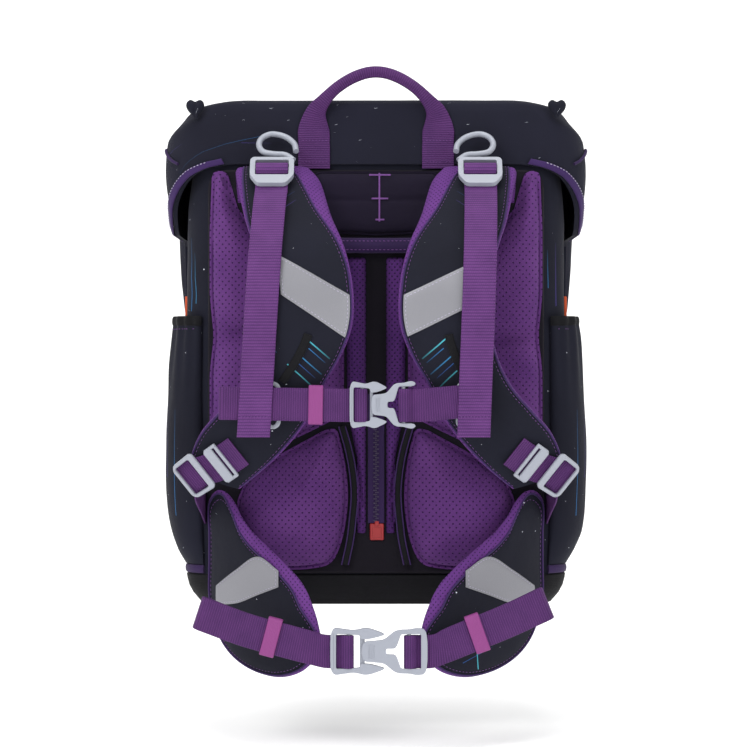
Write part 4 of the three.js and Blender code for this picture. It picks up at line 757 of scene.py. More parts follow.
@dataclass
class Block:
    """Flat or round bodies joined in one moulded piece, in its own frame before it is placed."""

    bm: Body = field(default_factory=bmesh.new)

    def slab(
        self,
        outline: Sequence[Pair],
        front: float,
        back: float,
        bevel: float = 0.6,
        hole: Optional[Sequence[Pair]] = None,
    ) -> "Block":
        """Adds a flat body with an outline in X and Z, and optionally a hole.

        Args:
            outline: its edge.
            front: lowest Y.
            back: highest Y.
            bevel: width of its rounded edges.
            hole: edge of the hole.
        Returns:
            The block.
        """
        body = bmesh.new()
        for edge in (outline, hole):
            if edge is None:
                continue
            made = bmesh.ops.create_circle(body, segments=len(edge), radius=1, cap_ends=hole is None)
            for vert, (x, z) in zip(made["verts"], edge):
                vert.co = Vector((x, front, z))
        if hole is not None:
            bmesh.ops.triangle_fill(body, edges=body.edges[:], use_beauty=True, normal=(0, 1, 0))
        swept = bmesh.ops.extrude_face_region(body, geom=body.faces[:])
        moved = [item for item in swept["geom"] if isinstance(item, bmesh.types.BMVert)]
        bmesh.ops.translate(body, verts=moved, vec=(0, back - front, 0))
        bmesh.ops.recalc_face_normals(body, faces=body.faces)
        rims = [edge for edge in body.edges if abs(edge.calc_face_angle(0.0)) > math.radians(50)]
        return self._take(body, rims, bevel, True)

    def brick(self, size: Triple, at: Triple = (0, 0, 0), bevel: float = 0.5) -> "Block":
        """Adds a box with rounded edges, by its size and middle."""
        body = bmesh.new()
        bmesh.ops.create_cube(body, size=1)
        bmesh.ops.scale(body, verts=body.verts, vec=size)
        bmesh.ops.translate(body, verts=body.verts, vec=at)
        return self._take(body, body.edges[:], bevel)

    def pin(self, radius: float, length: float, at: Triple, upright: bool = True) -> "Block":
        """Adds a round bar along Z, or along X if it isn't upright."""
        body = bmesh.new()
        ends = {"radius1": radius, "radius2": radius}
        bmesh.ops.create_cone(body, cap_ends=True, segments=16, depth=length, **ends)
        if not upright:
            turn = Vector((0, 0, 1)).rotation_difference(Vector((1, 0, 0))).to_matrix()
            bmesh.ops.rotate(body, verts=body.verts, matrix=turn)
        bmesh.ops.translate(body, verts=body.verts, vec=at)
        return self._take(body)

    def wire(self, path: Array, radius: float) -> "Block":
        """Adds a round wire along a path in X and Z."""
        return self._take(wrap(tube(path, radius, 1.0, (0.0, 1.0, 0.0), False, 18)))

    def _take(
        self,
        body: Body,
        edges: Sequence[bmesh.types.BMEdge] = (),
        bevel: float = 0.0,
        clamp: bool = False,
    ) -> "Block":
        """Joins a body to the block and frees it.

        Args:
            body: what is added.
            edges: edges of the body to round.
            bevel: width of the rounding.
            clamp: whether the rounding stops where it would overlap.
        Returns:
            The block itself.
        """
        if edges:
            shape = {"segments": 3, "profile": 0.5, "affect": "EDGES", "material": -1}
            bmesh.ops.bevel(body, geom=edges, offset=bevel, clamp_overlap=clamp, **shape)
        bmesh.ops.recalc_face_normals(body, faces=body.faces)
        mesh = bpy.data.meshes.new("block")
        body.to_mesh(mesh)
        body.free()
        self.bm.from_mesh(mesh)
        bpy.data.meshes.remove(mesh)
        return self

    def done(
        self, name: str, finish: Finish, origin: Array, axes: Optional[Array] = None
    ) -> Piece:
        """Places the block and makes it a piece.

        Args:
            name: of the piece.
            finish: its material.
            origin: where its own origin goes.
            axes: its X, Y and Z directions as rows.
        Returns:
            The piece.
        """
        axes = np.eye(3) if axes is None else np.asarray(axes, float)
        uv = self.bm.loops.layers.uv.get("cloth") or self.bm.loops.layers.uv.new("cloth")
        for face in self.bm.faces:
            for loop in face.loops:
                loop[uv].uv = (loop.vert.co.x, loop.vert.co.z)
        for vert in self.bm.verts:
            vert.co = Vector(origin + np.array(vert.co) @ axes)
        piece = settle(self.bm, name, [finish], 40)
        even = piece.modifiers.new("even", "WEIGHTED_NORMAL")
        even.keep_sharp = True
        return piece


def stitches(name: str, path: Array, finish: Finish, pitch: float, size: float) -> Piece:
    """A row of stitches along a path.

    Args:
        name: of the piece.
        path: points on the cloth.
        finish: the thread.
        pitch: from stitch to stitch.
        size: half the thread's thickness.
    Returns:
        The piece.
    """
    end = distances(path)[-1]
    bm = bmesh.new()
    for place in np.arange(pitch / 2, end, pitch):
        here, ahead = along_line(path, np.array([place, min(place + 0.5, end)]))
        made = bmesh.ops.create_icosphere(bm, subdivisions=1, radius=1)["verts"]
        bmesh.ops.scale(bm, verts=made, vec=(size, size, pitch * 0.33))
        turn = Vector((0, 0, 1)).rotation_difference(Vector(ahead - here)).to_matrix()
        bmesh.ops.rotate(bm, verts=made, matrix=turn)
        bmesh.ops.translate(bm, verts=made, vec=Vector(here))
    bm.loops.layers.uv.new("cloth")
    return settle(bm, name, [finish], 80)


def film(
    name: str,
    columns: Array,
    shares: Array,
    place: Callable[[float, float, float], Array],
    levels: Pair,
) -> Piece:
    """Thin reflective film sewn on a pad.

    Args:
        name: of the piece.
        columns: places across it.
        shares: from one of its long edges to the other.
        place: gives a point from a column, a share and a lift.
        levels: lift of its face and of its back.
    Returns:
        The piece.
    """
    rings = []
    for column in columns:
        rim = 0.25 if column in (columns[0], columns[-1]) else 0.0
        over = [place(column, share, levels[0] - rim - (0.3 if share in (0, 1) else 0)) for share in shares]
        rings.append(over + [place(column, share, levels[1]) for share in shares[::-1]])
    return skin(name, np.array(rings), [FILM], sharp=50)


# Layout


class Rows:
    """Table whose first column is a place. The other columns are read smoothly between its rows."""

    def __init__(self, *rows: Sequence[float]) -> None:
        """Args: rows: in rising order of place."""
        self.data = np.array(rows, float)
        steps = np.diff(self.data[:, :1], axis=0)
        slopes = np.diff(self.data, axis=0) / steps
        tangents = np.zeros_like(self.data)
        before, after = slopes[:-1], slopes[1:]
        same = before * after > 0
        total = np.where(same, before + after, 1.0)
        tangents[1:-1] = np.where(same, 2 * before * after / total, 0.0)
        tangents[0], tangents[-1] = slopes[0], slopes[-1]
        self.tangents = tangents

    def read(self, place: float, column: int = 1) -> float:
        """Returns the value of a column at a place."""
        x, y, t = self.data[:, 0], self.data[:, column], self.tangents[:, column]
        place = min(max(place, x[0]), x[-1])
        k = min(int(np.searchsorted(x, place, side="right")) - 1, len(x) - 2)
        step = x[k + 1] - x[k]
        w = (place - x[k]) / step
        rise = (1 + 2 * w) * (1 - w) ** 2 * y[k] + w**2 * (3 - 2 * w) * y[k + 1]
        return rise + w * (1 - w) ** 2 * step * t[k] - w**2 * (1 - w) * step * t[k + 1]


@dataclass(frozen=True)
class Board:
    """Flat board of the back, by which the pads and straps are placed."""

    half: float = 132.0
    low: float = 25.0
    top: float = 342.0
    thick: float = 5.0
    corner: float = 16.0

    @property
    def seat(self) -> float:
        """How far the pads' backs stand from the bag."""
        return self.thick + 2 * GAP

    def x(self, out: float, side: Side) -> float:
        """Returns X at a share of the half width."""
        return side.value * out * self.half

    def z(self, up: float) -> float:
        """Returns Z at a share of the height."""
        return self.low + up * (self.top - self.low)

    def outline(self, rows: Sequence[Pair], side: Side) -> List[Pair]:
        """Returns an outline in X and Z from shares of width and height."""
        return [(self.x(out, side), self.z(up)) for out, up in rows]


BOARD = Board()


def middle_of(node: str) -> Array:
    """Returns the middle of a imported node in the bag's own frame, in millimetres."""
    low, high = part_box(node)
    return (np.array(low) + np.array(high)) / 2 / MM - ORIGIN


def squircle(count: int, power: float) -> Array:
    """Returns points round a curve between a circle and a square, anticlockwise from +X."""
    turn = circle(count)
    waves = np.stack([np.cos(turn), np.sin(turn)], 1)
    return np.sign(waves) * np.abs(waves) ** (2 / power)


def banded(corners: Sequence[Array]) -> Array:
    """Returns rings with soft corners through four rails, given in order round the section."""
    a, b, c, d = (np.asarray(rail, float) for rail in corners)
    middle = (a + b + c + d) / 4
    wide, tall = (b + c - a - d) / 4, (c + d - a - b) / 4
    spots = squircle(16, 3.0)
    return middle[:, None] + wide[:, None] * spots[None, :, :1] + tall[:, None] * spots[None, :, 1:]


# Bag


@dataclass(frozen=True)
class BagSizes:
    """Sizes of the bag's body, pockets and lid."""

    half_width: float = 150.0
    depth: float = 205.0
    height: float = 372.0
    corner: float = 28.0
    wall: float = 3.0
    boot: float = 24.0
    boot_wall: float = 2.0
    trim: float = 7.0
    pocket: float = 195.0
    bulge: float = 16.0
    pocket_front: float = 168.0
    lid_top: float = 399.0
    lid_half: float = 167.0
    lid_corner: float = 30.0
    rim_back: float = 346.5
    rim_side: float = 293.0
    rim_front: float = 176.0
    arch_start: float = 119.0
    arch_length: float = 80.0


# Height, and the half width, back and front there, as shares of the bag's own
BAG_ROWS = Rows(
    (0.0, 0.915, 0.04, 0.96),
    (0.035, 0.975, 0.008, 0.99),
    (0.0645, 0.99, 0.0, 1.0),
    (0.3, 1.005, 0.0, 1.0),
    (0.8, 1.0, 0.0, 1.0),
    (1.0, 0.945, 0.0, 0.99),
)
POCKET_ROWS = Rows((0, 0.0), (0.06, 0.42), (0.14, 0.74), (0.4, 1.0), (0.7, 0.8), (0.92, 0.6), (1.0, 0.46))
# Drop from the lid's top, and the half width, back, front and corner there, as shares
LID_ROWS = Rows(
    (0.0, 0.40, 0.30, 0.70, 0.40),
    (0.012, 0.66, 0.09, 0.93, 0.62),
    (0.035, 0.76, 0.03, 0.985, 0.75),
    (0.11, 0.872, 0.005, 1.0, 0.85),
    (0.22, 0.925, 0.0, 1.0, 1.0),
    (0.4, 0.99, 0.0, 1.0, 1.0),
    (0.62, 1.0, 0.0, 1.0, 1.0),
    (0.85, 0.99, 0.0, 1.0, 1.0),
    (1.0, 0.965, 0.0, 1.0, 1.0),
)


@dataclass(frozen=True)
class Section:
    """Level section of the bag: a box with round corners."""

    wide: float
    back: float
    front: float
    corner: float

    def walk(self, grow: float) -> Tuple[Array, Array]:
        """Walks round the section.

        Args:
            grow: how far outside it.
        Returns:
            Points and the way that each faces, both in X and Y.
        """
        arc, span = 9, 14
        radius = self.corner + grow
        x, low, high = self.wide - self.corner, self.back + self.corner, self.front - self.corner
        corners = [(x, low, -90), (x, high, 0), (-x, high, 90), (-x, low, 180)]
        points: List[Array] = []
        facing: List[Array] = []
        for cx, cy, start in corners:
            for angle in np.radians(np.linspace(start, start + 90, arc + 1)):
                way = np.array([math.cos(angle), math.sin(angle)])
                points.append(np.array([cx, cy]) + radius * way)
                facing.append(way)
        for k in (4, 3, 2, 1):
            place = k * (arc + 1)
            here, ahead = points[place - 1], points[place % (4 * (arc + 1))]
            between = [here + (ahead - here) * w for w in np.linspace(0, 1, span + 1)[1:-1]]
            points[place:place] = between
            facing[place:place] = [facing[place - 1]] * len(between)
        return np.array(points), np.array(facing)


class Bag:
    """Body, boot, trim, side pockets, side tabs and lid."""

    def __init__(self, sizes: BagSizes) -> None:
        """Args: sizes: of the bag."""
        self.sizes = sizes

    def section(self, z: float) -> Section:
        """Returns the body's section at a height."""
        s, up = self.sizes, z / self.sizes.height
        wide, back, front = (BAG_ROWS.read(up, column) for column in (1, 2, 3))
        return Section(s.half_width * wide, s.depth * back, s.depth * front, s.corner)

    def ring(self, z: float, grow: float, slack: float = 0.0) -> Array:
        """Returns a ring round the body; slack is how much the cloth waves."""
        points, facing = self.section(z).walk(grow)
        ring = np.concatenate([points, np.full((len(points), 1), z)], axis=1)
        if slack:
            wave = ripple(ring * [1, 1, 0.6], 42, slack)
            wave = wave + ripple(ring * [0.4, 0.4, 1.6], 30, slack * 0.5, 9)
            ring[:, :2] += facing * wave[:, None]
        return ring

    def build(self) -> None:
        """Makes all the pieces of the bag."""
        s = self.sizes
        floor = s.boot_wall + GAP
        outer = [self.ring(z, 0, 0.9) for z in np.linspace(floor, s.height, 56)]
        inner = [self.ring(z, -s.wall) for z in np.linspace(s.height, floor + s.wall, 12)]
        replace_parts(skin("bag_body", np.array(outer + inner), [BAG_CLOTH]), "bag_shell")
        grown = s.boot_wall + GAP
        levels = [0, 0.4, 1.6, 4, 8, 14, 20, s.boot - 1, s.boot]
        outer = [self.ring(z, grown - (1.2 if z in (0, s.boot) else 0)) for z in levels]
        inner = [self.ring(z, GAP) for z in (s.boot, 12, s.boot_wall)]
        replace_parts(skin("bag_boot", np.array(outer + inner), [BASE_CLOTH]), "base_boot")
        self.trim()
        for side in Side:
            self.pocket(side)
            self.tab(side)
        self.lid()

    def path(self, z: float, side: Side, count: int, to: float, lift: Callable[[float], float]) -> Array:
        """Returns a path from beside the board round the corner and along a side.

        Args:
            z: its height.
            side: of the bag.
            count: points on it.
            to: Y that it runs to.
            lift: its distance from the bag at a share of the path.
        """
        section = self.section(z)
        x, y = section.wide - section.corner, section.back + section.corner
        bend = 4 / 11  # share of the path that goes round the corner
        points = []
        for w in np.linspace(0, 1, count):
            angle = math.radians(-60 + 60 * min(w / bend, 1))
            way = np.array([math.cos(angle), math.sin(angle)])
            here = np.array([x, y + max(w - bend, 0) / (1 - bend) * (to - y)])
            here = here + way * (section.corner + lift(w))
            points.append((side.value * here[0], here[1], z))
        return np.array(points)

    def trim(self) -> None:
        """Band round the bag above its boot."""
        s = self.sizes
        z, radius = s.boot + GAP + s.trim / 2, 1.4
        right = self.path(z, Side.RIGHT, 30, s.depth - s.corner, lambda w: GAP + radius)
        points, _ = self.section(z).walk(GAP + radius)
        front = points[points[:, 1] > s.depth - s.corner]
        front = front[np.argsort(-front[:, 0])]
        front = np.concatenate([front, np.full((len(front), 1), z)], axis=1)
        left = (right * [-1, 1, 1])[::-1]
        path = np.concatenate([right, front, left])
        piece = rod("base_band", path, DARK_TRIM, radius, flat=2.4, rise=(0, 0, 1), sides=18)
        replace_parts(piece, "base_trim")

    def pocket(self, side: Side) -> None:
        """Side pocket, gathered under its hem."""
        s = self.sizes
        low = s.boot + s.trim + 2 * GAP
        count, levels = 90, np.concatenate([np.linspace(0, 0.2, 12), np.linspace(0.22, 1, 44)])
        rings = []
        for up in levels:
            z = low + up * s.pocket
            share = s.bulge * POCKET_ROWS.read(up)
            gather = 1.3 * smooth(up, 0.55, 0.98)

            def out(w: float, thick: float = 0.0) -> float:
                """How far the cloth at share w of the way round stands off the bag, with its gathers."""
                fold = gather * math.sin(w * 58 + 2 * math.sin(w * 9)) * math.sin(math.pi * w) ** 0.5
                return GAP + 0.3 + thick + share * max(math.sin(math.pi * w), 0) ** 0.6 + fold * 0.8

            outside = self.path(z, side, count, s.pocket_front, lambda w: out(w, 2.0))
            wave = ripple(outside * [0.5, 1, 1], 34, 1.7, 3 + side.value)
            ease = np.sin(np.linspace(0, math.pi, count)) ** 0.7
            outside[:, 0] += side.value * wave * ease * smooth(up, 0, 0.15)
            inside = self.path(z, side, count, s.pocket_front, lambda w: min(out(w), GAP + 0.3 + share))
            rings.append(np.concatenate([outside, inside[::-1]]))
        piece = skin(f"pocket_{side}", np.array(rings), [BAG_CLOTH])
        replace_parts(piece, f"side_pocket_{side}")
        top = np.array(rings[-1][:count])
        line = top + [0, 0, -3.2]
        hem = rod(f"pocket_hem_{side}", line, BASE_CLOTH, 1.5, flat=2.7, rise=(0, 0, 1), sides=14)
        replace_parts(hem, f"side_pocket_{side}")
        seam = top + [0, 0, -9.5]
        seam[:, 0] += side.value * 1.2
        stitches(f"pocket_stitches_{side}", seam[3:-2], PURPLE_THREAD, 3.0, 0.28)

    def tab(self, side: Side) -> None:
        """Orange loop of folded tape above the pocket."""
        middle = middle_of(f"side_tab_{side}")
        turns = [(-1.0, -16), (1.4, -16), (1.4, 0), (1.4, 13), (0, 17.2), (-1.4, 13), (-1.4, 0)]
        fold = Curve(turns).spaced(40)
        centres = np.stack([side.value * fold[:, 0] * 0.62, fold[:, 1], np.zeros(len(fold))], 1) + middle
        piece = ribbon(f"tab_{side}", centres, (0, 0, 1), ORANGE, width=16.6, thick=1.1)
        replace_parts(piece, f"side_tab_{side}")

    def rim(self, x: float, y: float) -> float:
        """Returns the height of the lid's edge at a place on it."""
        s = self.sizes
        travel = max(0.0, abs(x) - s.arch_start) + 0.9 * max(0.0, y)
        behind = s.rim_back + (s.rim_side - s.rim_back) * min(1.0, travel / s.arch_length) ** 1.6
        return behind + (s.rim_front - behind) * smooth(y, s.depth * 0.8, s.depth)

    def lid_section(self, drop: float) -> Section:
        """Returns the lid's section at a share of the drop from its top to its edge."""
        s = self.sizes
        wide, back, front, corner = (LID_ROWS.read(drop, column) for column in (1, 2, 3, 4))
        low, high = -(GAP + s.wall), s.depth + 2 * GAP + s.wall + 0.65
        deep = high - low
        return Section(s.lid_half * wide, low + deep * back, low + deep * front, s.lid_corner * corner)

    def lid_ring(self, drop: float, depth: float, slack: float = 0.0) -> Array:
        """Returns a ring of the lid at a drop, and at a depth inside its face."""
        s = self.sizes
        points, facing = self.lid_section(drop).walk(-depth)
        edge, _ = self.lid_section(1.0).walk(0)
        heights = [min(s.lid_top - depth, s.lid_top + (self.rim(x, y) - s.lid_top) * drop) for x, y in edge]
        ring = np.concatenate([points, np.array(heights)[:, None]], axis=1)
        if slack:
            ease = smooth(drop, 0.02, 0.3) * (1 - 0.6 * smooth(drop, 0.85, 1))
            wave = ripple(ring * [0.9, 1, 0.8], 46, slack, 21) + ripple(ring, 19, slack * 0.3, 5)
            still = 1 - np.clip(-facing[:, 1], 0, 1) * 0.75
            ring[:, :2] += facing * (wave * ease * still)[:, None]
            ring[:, 2] += wave * (1 - smooth(drop, 0.0, 0.12)) * 0.5
        return ring

    def lid(self) -> None:
        """Hood with bound side edges, piping in its side seams and a knot at each back corner."""
        drops = np.concatenate([[0, 0.003, 0.007, 0.012, 0.018, 0.026], np.linspace(0.035, 1, 46)])
        outer = [self.lid_ring(drop, 0, 1.4) for drop in drops]
        inner = [self.lid_ring(drop, self.sizes.wall) for drop in drops[::-3]]
        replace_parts(skin("lid_hood", np.array(outer + inner), [LID_CLOTH]), "lid")
        for side in Side:
            self.binding(side)
            self.piping(side)
            self.knot(side)
        self.clasp()

    def side_rail(self, drop: float, lift: float, side: Side) -> Array:
        """Returns a rail round the lid's back corner and along its side, as far as the front corner."""
        return self.lid_ring(drop, -lift)[:22] * [side.value, 1, 1]

    def binding(self, side: Side) -> None:
        """Cloth binding round the arch of the lid's side."""
        corners = ((1.0, 0.5), (0.92, 0.5), (0.92, 2.6), (1.0, 2.6))
        rings = banded([self.side_rail(drop, lift, side) for drop, lift in corners])
        lead = 12.0  # from the start of the arch to the first ring
        start = rings[:1] - [[side.value * lead, 0, 0]]
        start[:, :, 2] += self.sizes.rim_back - self.rim(self.sizes.arch_start + lead, 0)
        piece = skin(f"lid_edge_{side}", np.concatenate([start, rings]), [TRIM])
        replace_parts(piece, f"lid_binding_{side}")
        line = self.side_rail(0.93, 2.75, side)
        stitches(f"lid_edge_stitches_{side}", line, THREAD, 2.9, 0.36)

    def piping(self, side: Side) -> None:
        """Piping that rises from the binding at the back corner and runs along the side."""
        edge, low, rise = self.side_rail(1.0, 0.0, side), 346.0, 14.0
        path = []
        for k in range(4, len(edge)):
            height = low + rise * smooth(k, 3, 9)
            drop = (self.sizes.lid_top - height) / (self.sizes.lid_top - edge[k, 2])
            path.append(self.side_rail(drop, 1.3, side)[k])
        piece = rod(f"lid_piping_{side}_cord", np.array(path), DARK_TRIM, 1.2)
        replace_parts(piece, f"lid_piping_{side}")

    def knot(self, side: Side) -> None:
        """Knot of gathered cloth at a back corner of the lid."""
        middle = middle_of(f"corner_knot_{side}")
        turns = circle(56)
        cleft = np.exp(-((np.cos(turns) / 0.3) ** 2)) * (np.sin(turns) > 0)
        point = np.exp(-((np.cos(turns) / 0.4) ** 2)) * (np.sin(turns) < 0)
        wide = 7.0 * np.cos(turns) * (1 + 0.22 * np.sin(turns)) - side.value * 1.6 * point
        tall = 6.6 * np.sin(turns) - 2.4 * cleft - 3.0 * point
        rings = []
        for tilt in np.linspace(-84, 84, 21):
            out, rise = math.cos(math.radians(tilt)), math.sin(math.radians(tilt))
            groove = np.exp(-((out * wide / 1.5) ** 2)) * smooth(rise, 0, 0.5)
            y = -4.4 * rise + 1.3 * groove + 0.35 * np.sin(9 * turns) * out * point
            rings.append(np.stack([out * wide, y, out * tall + 0.8], 1) + middle)
        piece = skin(f"knot_{side}", np.array(rings), [BAG_CLOTH], sharp=70)
        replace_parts(piece, f"corner_knot_{side}")

    def clasp(self) -> None:
        """Plain closure under the lid's front edge."""
        block = Block().brick((34, 7, 22), bevel=2.0)
        block.brick((24, 1.2, 12), (0, 3.6, 0), 0.5)
        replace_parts(block.done("front_clasp", PLASTIC, middle_of("lid_clasp")), "lid_clasp")


# Padded back


# Outlines on the board, as shares of its half width and height
SIDE_PAD_ROWS = (
    (0.975, 0.997), (0.885, 0.997), (0.85, 0.945), (0.84, 0.912), (0.76, 0.875), (0.675, 0.832),
    (0.52, 0.806), (0.48, 0.785), (0.3, 0.783), (0.195, 0.783), (0.19, 0.7), (0.19, 0.587),
    (0.19, 0.48), (0.2, 0.392), (0.34, 0.362), (0.6, 0.31), (0.83, 0.262), (0.94, 0.238), (0.985, 0.26),
    (0.99, 0.4), (0.99, 0.5), (0.965, 0.587), (0.99, 0.69), (0.99, 0.85),
)
LUMBAR_ROWS = (
    (0.232, 0.36), (0.205, 0.318), (0.178, 0.265), (0.164, 0.2), (0.172, 0.14), (0.2, 0.08),
    (0.26, 0.02), (0.45, 0.008), (0.67, 0.012), (0.79, 0.045), (0.84, 0.11), (0.83, 0.18),
    (0.77, 0.235), (0.62, 0.285), (0.44, 0.325), (0.3, 0.357),
)
STRIP_ROWS = Rows(
    (0.1, 0.115), (0.13, 0.104), (0.198, 0.092), (0.262, 0.106), (0.352, 0.145), (0.42, 0.172),
    (0.6, 0.174), (0.782, 0.174),
)
BEAD_ROWS = (
    (0.202, 0.364), (0.165, 0.31), (0.142, 0.262), (0.128, 0.198), (0.14, 0.13), (0.155, 0.08),
    (0.185, 0.022),
)
NECK_ROWS = (
    (-0.375, 0.996), (0.375, 0.996), (0.385, 0.93), (0.39, 0.845), (0.0, 0.836), (-0.39, 0.845),
    (-0.385, 0.93),
)


# Half of the handle from its foot up: shares of its spread and height, and how far it is rolled
HANDLE_ROWS = (
    (1.0, 0.0, 0), (1.0, 0.25, 0), (1.0, 0.48, 0.05), (0.955, 0.6, 0.35),
    (0.83, 0.71, 0.8), (0.64, 0.83, 1), (0.4, 0.93, 1), (0.18, 0.985, 1),
)


@dataclass(frozen=True)
class PadForm:
    """Form of a sewn pad: its seam flange, and how it rises from it."""

    thick: float
    flange: float = 3.0
    lip: float = 1.5
    roll: float = 20.0
    crown: float = 0.12

    def height(self, inward: Array, middle: Array) -> Array:
        """Returns the height of the pad's face.

        Args:
            inward: distance from the pad's edge.
            middle: 0 at the edge to 1 at the pad's middle.
        """
        lip = self.lip * np.clip(inward / 0.8, 0, 1) ** 0.5
        groove = -0.7 * np.exp(-(((inward - self.flange) / 0.7) ** 2))
        w = np.clip((inward - self.flange) / self.roll, 0, 1)
        rise = np.sqrt(1 - (1 - w) ** 2) * (1 - self.crown) + self.crown * np.sin(np.pi / 2 * middle) * w
        return lip + groove + (self.thick - self.lip) * rise


PAD_STEPS = (1.0, 0.994, 0.986, 0.976, 0.966, 0.955, 0.942, 0.927, 0.91, 0.885, 0.855, 0.815, 0.77, 0.71)
PAD_MIDDLE_STEPS = (0.64, 0.56, 0.47, 0.37, 0.26, 0.15, 0.06)


def nearest(points: Array, outline: Array) -> Array:
    """Returns the distance of points from a closed outline, all in X and Z."""
    ahead = np.roll(outline, -1, axis=0)
    way = ahead - outline
    size = np.maximum((way**2).sum(1), 1e-9)
    share = np.clip((((points[:, None] - outline[None]) * way[None]).sum(2)) / size[None], 0, 1)
    spots = outline[None] + way[None] * share[:, :, None]
    return np.sqrt(((points[:, None] - spots) ** 2).sum(2)).min(1)


def pad(
    name: str,
    outline: Sequence[Pair],
    form: PadForm,
    finish: Finish,
    *,
    middle: Optional[Pair] = None,
    corner: float = 7.0,
    shape: Optional[Callable[[Array], Array]] = None,
    count: int = 150,
) -> Piece:
    """Sewn pad on the board.

    Args:
        name: of the piece.
        outline: its edge in X and Z.
        form: of its section.
        finish: its cloth.
        middle: that its face is drawn to.
        corner: radius of the outline's corners.
        shape: factor on its height from X and Z.
        count: points round it.
    Returns:
        The piece.
    """
    edge = np.array(rounded(outline, corner))
    closed = np.concatenate([edge, edge[:1]])
    edge = along_line(closed, np.linspace(0, distances(closed)[-1], count, endpoint=False))
    centre = edge.mean(0) if middle is None else np.array(middle)
    rings = [np.stack([edge[:, 0], np.full(count, -BOARD.seat), edge[:, 1]], 1)]
    for size in PAD_STEPS + PAD_MIDDLE_STEPS:
        spots = centre + (edge - centre) * size
        height = form.height(nearest(spots, edge), np.full(count, 1 - size))
        if size == 1.0:
            height = np.full(count, form.lip * 0.7)
        if shape is not None:
            height = height * shape(spots)
        rings.append(np.stack([spots[:, 0], -(BOARD.seat + height), spots[:, 1]], 1))
    piece = skin(name, np.array(rings), [finish], flat_map=True, sharp=55)
    return piece


